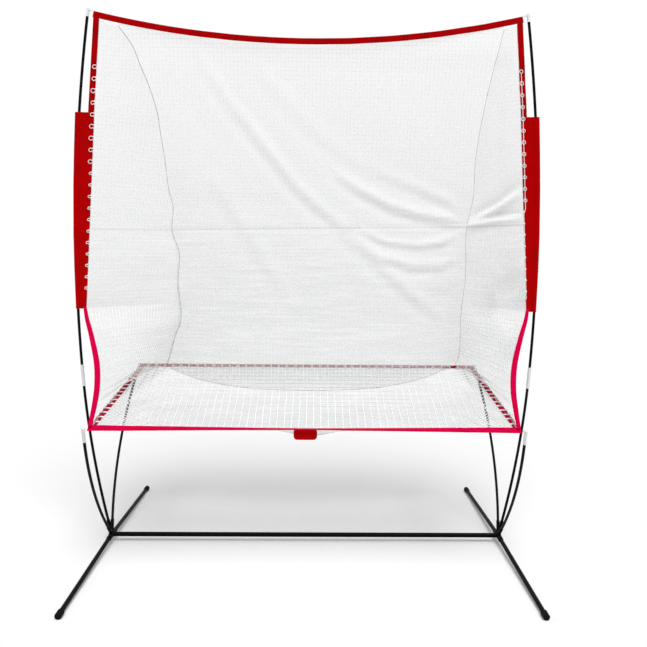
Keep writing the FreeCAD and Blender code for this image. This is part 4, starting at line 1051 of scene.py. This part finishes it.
def skin(name, grid, weave_at, material):
    """A one-layer sheet through a grid of points."""
    points = [point for row in grid for point in row]
    faces = grid_faces(len(grid), len(grid[0]))
    sheet = make_piece(name, points, faces, material,
                       weave=[weave_at(point) for point in points])
    # How far each point leans is stored for the knit's painted shade on folds.
    lean_shade = sheet.data.attributes.new("lean_shade", "FLOAT", "POINT")
    lean_shade.data.foreach_set("value", leaning(grid))
    print(name, "area", round(sum(face.area for face in sheet.data.polygons), 3))


SKIN_ROWS, BACK_COLUMNS, GUSSET_COLUMNS = 230, 180, 40


def share_list(count):
    return [number / count for number in range(count + 1)]


def back_grid():
    """Rows from the foot to the top band, columns from seam to seam."""
    grid = []
    for rise in share_list(SKIN_ROWS):
        row = []
        for across in share_list(BACK_COLUMNS):
            x = seam_at("left", 0.9).x * (1 - across) + seam_at("right", 0.9).x * across
            for _ in range(3):  # x and z depend on each other, and settle in three rounds
                foot, top = foot_line(x).z, top_band_height(x) - BAND / 2 + 3 * MM
                z = foot + (top - foot) * rise
                x = seam_at("left", z).x * (1 - across) + seam_at("right", z).x * across
            row.append(back_point(x, z))
        grid.append(row)
    return grid


skin("back_mesh", back_grid(), lambda point: (point.x, point.z), fine_mesh)

# %% [markdown]
# ## Netting as real twine
# Every 20 mm a heavier twine is knitted in, both ways. These are made as real twine, so that the
# net is a net from every side. A strand is a chain of four-sided rings with a flat face to the
# front: enough for a thing 1.2 mm thick. It lies just in front of the sheer skin. One function
# lays a strand along a row of points and skips the points that fall outside the panel.

# %% Netting helper
def strands(rows, radius, front):
    """All strands of a net, from rows of points in which None means outside the panel."""
    points, faces = [], []
    for row in rows:
        run = []
        for place in [*row, None]:
            if place is not None:
                run.append(place + front * radius)
                continue
            if len(run) > 1:
                cord(points, faces, run, radius, 4, front=front)
            run = []
    return points, faces


MESH = 20 * MM
NET_TWINE = 0.6 * MM
FRONT = Vector((0, -1, 0))


def net_rows(first, second, place):
    """Rows along both directions of a mesh; place(a, b) gives a point or None."""
    rows = [[place(a, b) for b in second] for a in first]
    rows += [[place(a, b) for a in first] for b in second]
    return rows


# %% Back panel
def back_place(x, z):
    left, right = seam_at("left", z), seam_at("right", z)
    if not left.x <= x <= right.x or z > top_band_height(x) - BAND / 2 + 4 * MM:
        return None
    return back_point(x, z) if z >= foot_line(x).z else None


columns = [number * MESH for number in range(-48, 50)]
levels = [0.78 + number * MESH for number in range(0, 97)]
points, faces = strands(net_rows(columns, levels, back_place), NET_TWINE, FRONT)
make_piece("back_panel", points, faces, net_twine, ("back_net",), smooth=False)

# %% [markdown]
# ## Side gussets
# Each gusset fills the space between the border and the corner seam. Seen from the front it is
# almost edge-on, so its mesh looks dense. Its strands are measured in from the border: a strand
# that starts at the border at a given depth runs down until it meets the seam.

# %% Gusset surface
def border_at(side, z):
    """Inner edge of the red border at a height, from the top corner to the tray's corner."""
    if z > SLEEVE_HIGH:
        x = level(z, [(SLEEVE_HIGH, 1.074), (2.692, 1.037)])
        return Vector((side * x, 2.5 * MM, z))
    if z > SLEEVE_LOW:
        return Vector((side * level(z, HEM_LINE), 2.5 * MM, z))
    for above, below in zip(LOWER_EDGE, LOWER_EDGE[1:]):
        if below.z <= z <= above.z:
            point = above.lerp(below, (above.z - z) / (above.z - below.z))
            return Vector((side * point.x, point.y, z))
    return Vector((side * LOWER_EDGE[-1].x, LOWER_EDGE[-1].y, z))


lower_line = smooth_path(LOWER_KNOTS, 14 * MM)
LOWER_EDGE = [place - tangent.cross(LOWER_PLANE).normalized() * (BAND / 2 - 3 * MM)
              * (1 if tangent.cross(LOWER_PLANE).x > 0 else -1)
              for place, tangent in zip(lower_line, stations(lower_line))]
LOWER_EDGE = [Vector((1.1385, 0.0025, SLEEVE_LOW)), *LOWER_EDGE[2:]]


def rim_line(side, z):
    """Where the gusset's lower edge lies on the tray's side band at a height."""
    y = ((z - RIM_FRONT) / (RIM_REAR - RIM_FRONT) * 2 - 1) * TRAY_DEEP
    return Vector((side * (TRAY_HALF - BAND / 2), y, z))


SEAM_FOOT = 0.888
CORNER_REACH = Vector((0.957, 0.49, 0.873))


def seam_or_rim(word, side, z):
    """Inner end of a gusset strand: the corner seam, then along the rear band to the tray's
    corner, then down the tray's side band."""
    corner = Vector((side * CORNER_REACH.x, CORNER_REACH.y, CORNER_REACH.z))
    if z >= SEAM_FOOT:
        return seam_at(word, z)
    if z > RIM_REAR:
        foot = seam_at(word, SEAM_FOOT)
        low = Vector((foot.x, 0.487, 0.872))
        share = (SEAM_FOOT - z) / (SEAM_FOOT - RIM_REAR)
        return foot.lerp(low, share / 0.7) if share < 0.7 else low.lerp(corner, share / 0.3 - 7 / 3)
    return rim_line(side, z)


GUSSET_FOLDS = (
    (24 * MM, 0.026, [Vector(knot) for knot in ((0.36, 1.70), (0.22, 1.755), (0.0, 1.86))]),
    (20 * MM, 0.018, [Vector(knot) for knot in ((0.36, 1.69), (0.18, 1.715), (0.0, 1.73))]),
)


GUSSET_WIDE = 0.36     # width of a gusset that its folds are laid out for
GUSSET_FRONT = {word: Vector((-0.81 * side, -0.59, 0)) for word, side in SIDES}


def gusset_point(word, side, share, z):
    """Point of a gusset, share of the way in from the border at a height."""
    start, end = border_at(side, z), seam_or_rim(word, side, z)
    slack = math.sin(math.pi * share) ** 0.6
    wave = 7 * MM * noise.noise(Vector((z * 3.5, share * 2.5, side * 3)))
    if word == "right":
        wave += sum(ridge(Vector((share * GUSSET_WIDE, z)), line, height, width, tapered=False)
                    for height, width, line in GUSSET_FOLDS)
    return start.lerp(end, share) + GUSSET_FRONT[word] * (wave * slack)


def gusset_place(word, side):
    def place(depth, z):
        width = (seam_or_rim(word, side, z) - border_at(side, z)).length
        return gusset_point(word, side, depth / width, z) if depth <= width else None
    return place


GUSSET_LOW = 0.757
for word, side in SIDES:
    top = top_band_height(1.0) - BAND / 2
    grid = [[gusset_point(word, side, share, GUSSET_LOW + (top - GUSSET_LOW) * rise)
             for share in share_list(GUSSET_COLUMNS)] for rise in share_list(SKIN_ROWS)]
    skin(f"side_mesh_{word}", grid, lambda point: (point.y, point.z), side_mesh)
    depths = [1 * MM + number * MESH for number in range(0, 60)]
    heights = [GUSSET_LOW + number * 2 * MESH for number in range(0, 5)]
    heights += [GUSSET_LOW + number * MESH for number in range(10, 97)]
    points, faces = strands(net_rows(depths, heights, gusset_place(word, side)), NET_TWINE,
                            GUSSET_FRONT[word])
    make_piece(f"side_gusset_{word}", points, faces, net_twine,
               (f"side_net_{word}",), smooth=False)

# %% [markdown]
# ## The tray's floor
# The floor carries the balls, so it is a stronger net: 38 mm squares of thicker twine, knotted
# where they cross. Each knot is a small flattened lump, and it is the knots that catch the light
# and make a coarse net look like one.

# %% Tray floor net
TRAY_MESH = 38 * MM
TRAY_TWINE = 1.9 * MM
KNOT = 3.4 * MM


def tray_place(x, y):
    if abs(x) > TRAY_HALF - BAND + 3 * MM or abs(y) > TRAY_DEEP - BAND + 3 * MM:
        return None
    wander = noise.noise(Vector((x * 7, y * 7, 21))) * 4 * MM
    wander_y = noise.noise(Vector((x * 7, y * 7, 57))) * 4 * MM
    inside = min(1.0, (TRAY_HALF - BAND - abs(x)) / 0.05, (TRAY_DEEP - BAND - abs(y)) / 0.05)
    inside = max(inside, 0.0)
    x, y = x + wander * inside, y + wander_y * inside
    return Vector((x, y, tray_height(x, y)))


def knot(points, faces, centre, radius):
    """A six-pointed knot, flattened into the net."""
    start = len(points)
    for offset in ((1, 0, 0), (-1, 0, 0), (0, 1, 0), (0, -1, 0), (0, 0, 0.75), (0, 0, -0.75)):
        points.append(centre + Vector(offset) * radius)
    for a, b in ((0, 2), (2, 1), (1, 3), (3, 0)):
        faces.append((start + a, start + b, start + 4))
        faces.append((start + b, start + a, start + 5))


columns = [number * TRAY_MESH for number in range(-26, 27)]
depths = [-0.494 + number * TRAY_MESH for number in range(0, 27)]
points, faces = strands(net_rows(columns, depths, tray_place), TRAY_TWINE, UP)
for x in columns:
    for y in depths:
        crossing = tray_place(x, y)
        if crossing is not None:
            knot(points, faces, crossing, KNOT)
inner_x, inner_y = TRAY_HALF - BAND + 2 * MM, TRAY_DEEP - BAND + 2 * MM
# Under the twine lies a grey sheer skin, which is painted shade under the tray net.
grid = [[Vector((x, y, tray_height(x, y) - 1.5 * MM))
         for x in (inner_x * (2 * share - 1) for share in share_list(96))]
        for y in (inner_y * (2 * share - 1) for share in share_list(60))]
skin("tray_mesh", grid, lambda point: (point.x, point.y), tray_shade_knit)
make_piece("tray_floor", points, faces, tray_twine, ("tray_net",), smooth=False)

# %% [markdown]
# ## Seam cord
# The corded seam is a white cord, 2.5 mm thick, drawn grey as painted shade along the seam. It goes down
# the left corner, along the back panel's foot and up the right corner in one length, as it is sewn. On
# the right, and along the foot, it beds into the knit and shows thinner.

# %% Seam cord
def seam_cord():
    foot = [foot_line(-0.79 + 1.62 * number / 60) for number in range(61)]
    path = [*SEAMS["left"], *foot, *reversed(SEAMS["right"])]
    bedded = []
    for place in path:
        if place.x > 0.8:
            bedded.append((0.85 if place.z > 1.3 else 1.1) * MM
                          + 0.4 * MM * noise.noise(Vector((0, 0, place.z * 24))))
        elif place.z < 0.87:
            bedded.append(0.75 * MM + 0.4 * MM * noise.noise(Vector((place.x * 16, 0, 4))))
        else:
            bedded.append(1.25 * MM)
    points, faces = [], []
    cord(points, faces, path, bedded, 8)
    # Grey as painted shade along the seam.
    make_piece("corner_seam_cord", points, faces, seam_shade_twine, ("seam_cord",))


seam_cord()

# %% [markdown]
# ## Lacing
# A white cord is laced down the inner edge of the side borders. On the left it runs behind the
# edge, and at every 58 mm it comes through the net and lies on the red in an open ring. On the
# right it runs down the front and takes a small full turn at the same pitch. Both were laced by
# hand, so no two rings are alike.

# %% Lacing
LACING_PITCH = 58 * MM
LACING_LOW, LACING_HIGH = 1.31, 2.52
LACING_CORD = 1.8 * MM
TURN_STOPS = 12


def left_rings(bottom, wide):
    """Offsets (out, y, up) of one pitch: down behind the edge, then an open ring in front."""
    path = [(1 * MM, 3.5 * MM, bottom), (0, 3.5 * MM, bottom + LACING_PITCH * 0.4)]
    for step in range(TURN_STOPS + 1):
        turn = math.radians(-150 + 300 * step / TURN_STOPS)
        path.append((wide * (0.9 + math.cos(turn)), -5.2 * MM,
                     bottom + LACING_PITCH * 0.7 + wide * math.sin(turn)))
    return path


def right_turns(bottom, wide, out):
    """Offsets of one pitch: a straight run in front and one small full turn."""
    path = [(out, -5.4 * MM, bottom), (out, -5.4 * MM, bottom + LACING_PITCH * 0.45)]
    for step in range(TURN_STOPS + 1):
        turn = math.radians(-80 + 340 * step / TURN_STOPS)
        path.append((out + wide * math.cos(turn), (-5.4 - 2.4 * step / TURN_STOPS) * MM,
                     bottom + LACING_PITCH * 0.72 + wide * math.sin(turn)))
    return path


def lacing(word, side):
    """The whole cord of one side as one piece."""
    path = []
    for number in range(int((LACING_HIGH - LACING_LOW) / LACING_PITCH)):
        bottom = LACING_LOW + LACING_PITCH * number
        uneven = 1 + 0.25 * noise.noise(Vector((number * 3.1, side, 8)))
        if word == "left":
            path += left_rings(bottom, (9.5 if bottom > 1.9 else 5.5) * MM * uneven)
        else:
            wide, out = (8.5, 9) if bottom > 1.75 else (4.0, 0)
            path += right_turns(bottom, wide * MM * uneven, out * MM)
    knots = [Vector((side * (abs(border_at(side, z).x) + out), y, z)) for out, y, z in path]
    points, faces = [], []
    cord(points, faces, smooth_path(knots, 3 * MM), LACING_CORD)
    make_piece(f"border_lacing_{word}", points, faces, lacing_twine,
               (f"lacing_{word}",))


for word, side in SIDES:
    lacing(word, side)

# %% [markdown]
# ## Corner loops
# A short elastic cord ties each net corner to the neck of its pole tip. It goes twice round the
# neck, so there are two loops side by side, which narrow to where they meet the webbing.

# %% Corner loops
NECK_TURN = 6.6 * MM
END_STOPS = 12


def oval(neck, corner, heading, lift, reach_in):
    """A closed oval of cord round the neck of a tip and out to the webbing's corner."""
    toward = (corner - neck).normalized()
    across = heading.cross(toward).normalized()
    reach = max((corner - neck).length - reach_in - NECK_TURN, 2 * MM)
    path = []
    for middle, radius, begin in ((neck, NECK_TURN, 0.5),
                                  (neck + toward * reach, NECK_TURN * 0.8, 1.5)):
        for number in range(END_STOPS):
            angle = math.pi * (begin + number / (END_STOPS - 1))
            path.append(middle + (toward * math.cos(angle) + across * math.sin(angle)) * radius)
    return [place + heading * lift for place in path]


TIPS = {
    "main": ((1.0918, 0, 2.7255), (1.067, 0, 2.722), (-0.138, 0, 0.99)),
    "front": ((1.0026, -0.5225, 0.7422), (0.987, -0.518, 0.743), (-0.091, -0.4755, 0.875)),
    "rear": ((0.996, 0.5206, 0.8717), (0.987, 0.518, 0.871), (-0.196, 0.433, 0.88)),
}


def corner_ties():
    points, faces = [], []
    for neck, corner, heading in TIPS.values():
        for side in (-1, 1):
            neck_s, corner_s, heading_s = mirrored([Vector(neck), Vector(corner), Vector(heading)],
                                                   side)
            for lift in (-1.2 * MM, 1.2 * MM):
                cord(points, faces, oval(neck_s, corner_s, heading_s, lift, 2 * MM), 1.25 * MM, 6,
                     closed=True)
    make_piece("corner_ties", points, faces, lacing_twine, ("corner_loops",))


corner_ties()

# %% [markdown]
# ## The bare patch
# A soft oblong patch with rounded ends hangs upright under the front of the tray. It is left
# plain. It is a padded scrap of cloth: a flat grid, rounded off at its corners, crowned in the
# middle and pulled in by the stitches round its edge.

# %% Patch
PATCH_HALF_W, PATCH_HALF_H = 54 * MM, 27 * MM
PATCH_COLUMNS, PATCH_ROWS = 36, 18


def patch_point(u, v, face):
    """Offset of a point of the patch as (across, down, out). u and v go from -1 to 1 over it,
    and face is 1 for the front and -1 for the back."""
    x = u * PATCH_HALF_W * (1 - 0.10 * abs(v) ** 4 * abs(u) ** 6)
    y = v * PATCH_HALF_H * (1 - 0.2 * abs(u) ** 8)
    edge = min(1 - abs(u), 1 - abs(v))
    puff = (0.75 if face > 0 else 0.6) * MM * min(1, edge * 9) ** 0.5
    from_edge = min((1 - abs(u)) * 2, 1 - abs(v))
    channel = 0.35 * MM * math.exp(-((from_edge - 0.17) / 0.05) ** 2)
    ripple = 0.5 * MM * noise.noise(Vector((x * 60, y * 60, 2)))
    return x, y, face * (puff - channel) + ripple * (1 if edge > 0 else 0.6)


def patch():
    low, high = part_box("tray_patch")
    centre = (low + high) / 2
    points, faces, weave = [], [], []
    wide, tall = PATCH_COLUMNS + 1, PATCH_ROWS + 1
    for face in (1, -1):
        quads = grid_faces(tall, wide, len(points))
        faces += quads if face > 0 else [quad[::-1] for quad in quads]
        for row in range(tall):
            for column in range(wide):
                x, y, out = patch_point(2 * column / PATCH_COLUMNS - 1, 2 * row / PATCH_ROWS - 1,
                                        face)
                points.append(centre + Vector((x, 0, 0)) - UP * y + FRONT * out)
                weave.append((x, y))
    rim = ([(0, c) for c in range(PATCH_COLUMNS)] + [(r, PATCH_COLUMNS) for r in range(PATCH_ROWS)]
           + [(PATCH_ROWS, PATCH_COLUMNS - c) for c in range(PATCH_COLUMNS)]
           + [(PATCH_ROWS - r, 0) for r in range(PATCH_ROWS)])
    rim = [r * wide + c for r, c in rim]
    behind = wide * tall
    for here, there in zip(rim, rim[1:] + rim[:1]):
        faces.append((there, here, here + behind, there + behind))
    make_piece("tray_patch_cloth", points, faces, patch_cloth, ("tray_patch",), weave)


patch()

# %% [markdown]
# ## Weld beads
# The hub is welded up from short tubes. A weld bead is a row of small overlapping ripples round
# each joint, so it is built as a ring whose thickness swells once for every ripple.

# %% Weld beads on the hubs
HUB_X, HUB_Z = 1.033, 0.040
# each socket's direction on the right hub, its outer radius and how far out its weld lies
ROD_SOCKET, LEG_SOCKET = 9.1 * MM, 13.25 * MM
SOCKETS = (((0.2215, 0, 0.9751), ROD_SOCKET, 21 * MM),
           ((0.0194, -0.6994, 0.7144), ROD_SOCKET, 21 * MM),
           ((0.116, 0.6059, 0.7871), ROD_SOCKET, 21 * MM),
           ((0, -0.9995, -0.0325), LEG_SOCKET, 17 * MM), ((0, 0.9995, -0.0325), LEG_SOCKET, 17 * MM))
BEAD, BEAD_SIDES = 1.5 * MM, 8
RIPPLES, PER_RIPPLE = 22, 3


def weld_beads(word, side):
    points, faces = [], []
    for direction, radius, reach in SOCKETS:
        heading = Vector((direction[0] * side, direction[1], direction[2])).normalized()
        across = heading.orthogonal().normalized()
        other = heading.cross(across)
        centre = Vector((side * HUB_X, 0, HUB_Z)) + heading * reach
        start = len(points)
        count = RIPPLES * PER_RIPPLE
        for number in range(count):
            turn = 2 * math.pi * number / count
            radial = across * math.cos(turn) + other * math.sin(turn)
            swell = 1.0 + 0.28 * math.cos(2 * math.pi * number / PER_RIPPLE)
            for corner in range(BEAD_SIDES):
                angle = 2 * math.pi * corner / BEAD_SIDES
                points.append(centre + radial * (radius + 0.2 * MM)
                              + (radial * math.cos(angle) + heading * math.sin(angle))
                              * BEAD * swell)
        faces.extend(ring_faces(start, count, BEAD_SIDES, closed=True))
    make_piece(f"hub_welds_{word}", points, faces, steel)


for word, side in SIDES:
    weld_beads(word, side)

# %% [markdown]
# ## Floor, light and camera
# The floor and the room are plain white, as in a product studio. The light is even and plain, so
# that a colour shows about as it is written. The floor stays a little short of white under it, so
# that it can hold a shadow, and a little light of its own for the camera brings it up to white.

# %% Floor and world
FLOOR_REACH = 90.0
FLOOR_LIFT = 0.12
ROOM_LIGHT = 0.27


def studio_floor():
    r = FLOOR_REACH
    mesh = bpy.data.meshes.new("studio_floor")
    mesh.from_pydata([(-r, -r, 0), (r, -r, 0), (r, r, 0), (-r, r, 0)], [], [(0, 1, 2, 3)])
    floor = bpy.data.objects.new("studio_floor", mesh)
    bpy.context.scene.collection.objects.link(floor)
    material, tree, shader = finish_of("white_studio_floor", 0.9, Specular_IOR_Level=0.0,
                                       Base_Color=linear("#F4F4F4"), Emission_Color=(1, 1, 1, 1))
    seen = add(tree, "ShaderNodeLightPath").outputs["Is Camera Ray"]
    feed(tree, shader, Emission_Strength=sums(tree, "MULTIPLY", seen, FLOOR_LIFT))
    mesh.materials.append(material)


studio_floor()

world = bpy.data.worlds.new("white_room")
bpy.context.scene.world = world
world.use_nodes = True
sky = world.node_tree
sky.nodes.clear()
rays = add(sky, "ShaderNodeLightPath").outputs
seen = sums(sky, "MAXIMUM", rays["Is Camera Ray"], rays["Is Glossy Ray"])
seen = sums(sky, "MAXIMUM", seen, rays["Is Transmission Ray"])
room = add(sky, "ShaderNodeBackground", {"Color": (1, 1, 1, 1),
                                         "Strength": ramp(sky, seen, 0.0, 1.0, ROOM_LIGHT, 1.0)})
add(sky, "ShaderNodeOutputWorld", {"Surface": room.outputs["Background"]})


# %% One large soft lamp
WINDOW_POWER, WINDOW_SPREAD = 2.6, math.radians(34)
WINDOW_TOWARD = Vector((-0.08, 0.52, -0.85))

lamp = bpy.data.lights.new("key_window", "SUN")
lamp.energy = WINDOW_POWER
lamp.angle = WINDOW_SPREAD
window = bpy.data.objects.new("key_window", lamp)
bpy.context.scene.collection.objects.link(window)
window.rotation_euler = WINDOW_TOWARD.to_track_quat("-Z", "Y").to_euler()

# %% [markdown]
# ## Camera
# The camera stands 3.7 m in front of the net at eye height and looks slightly down, with a
# standard 40 mm lens. It is turned about one degree to the right and tilted by less than that.

# %% Camera
CAMERA_AT = (0.0355, -3.7138, 1.5667)
PITCH, YAW, ROLL = math.radians(6.0), math.radians(0.77), math.radians(0.5)

lens = bpy.data.cameras.new("studio_camera")
lens.sensor_width = 36
lens.lens = 40.06
camera = bpy.data.objects.new("studio_camera", lens)
bpy.context.scene.collection.objects.link(camera)
bpy.context.scene.camera = camera
forward = Vector((math.sin(YAW) * math.cos(PITCH), math.cos(YAW) * math.cos(PITCH),
                  -math.sin(PITCH)))
level_right = forward.cross(UP).normalized()
level_up = level_right.cross(forward)
right = level_right * math.cos(ROLL) + level_up * math.sin(ROLL)
upward = level_up * math.cos(ROLL) - level_right * math.sin(ROLL)
facing = Matrix((right, upward, -forward)).transposed().to_4x4()
camera.matrix_world = Matrix.Translation(CAMERA_AT) @ facing
bpy.context.scene.view_settings.view_transform = "Standard"
print("camera looks", [round(v, 3) for v in forward])
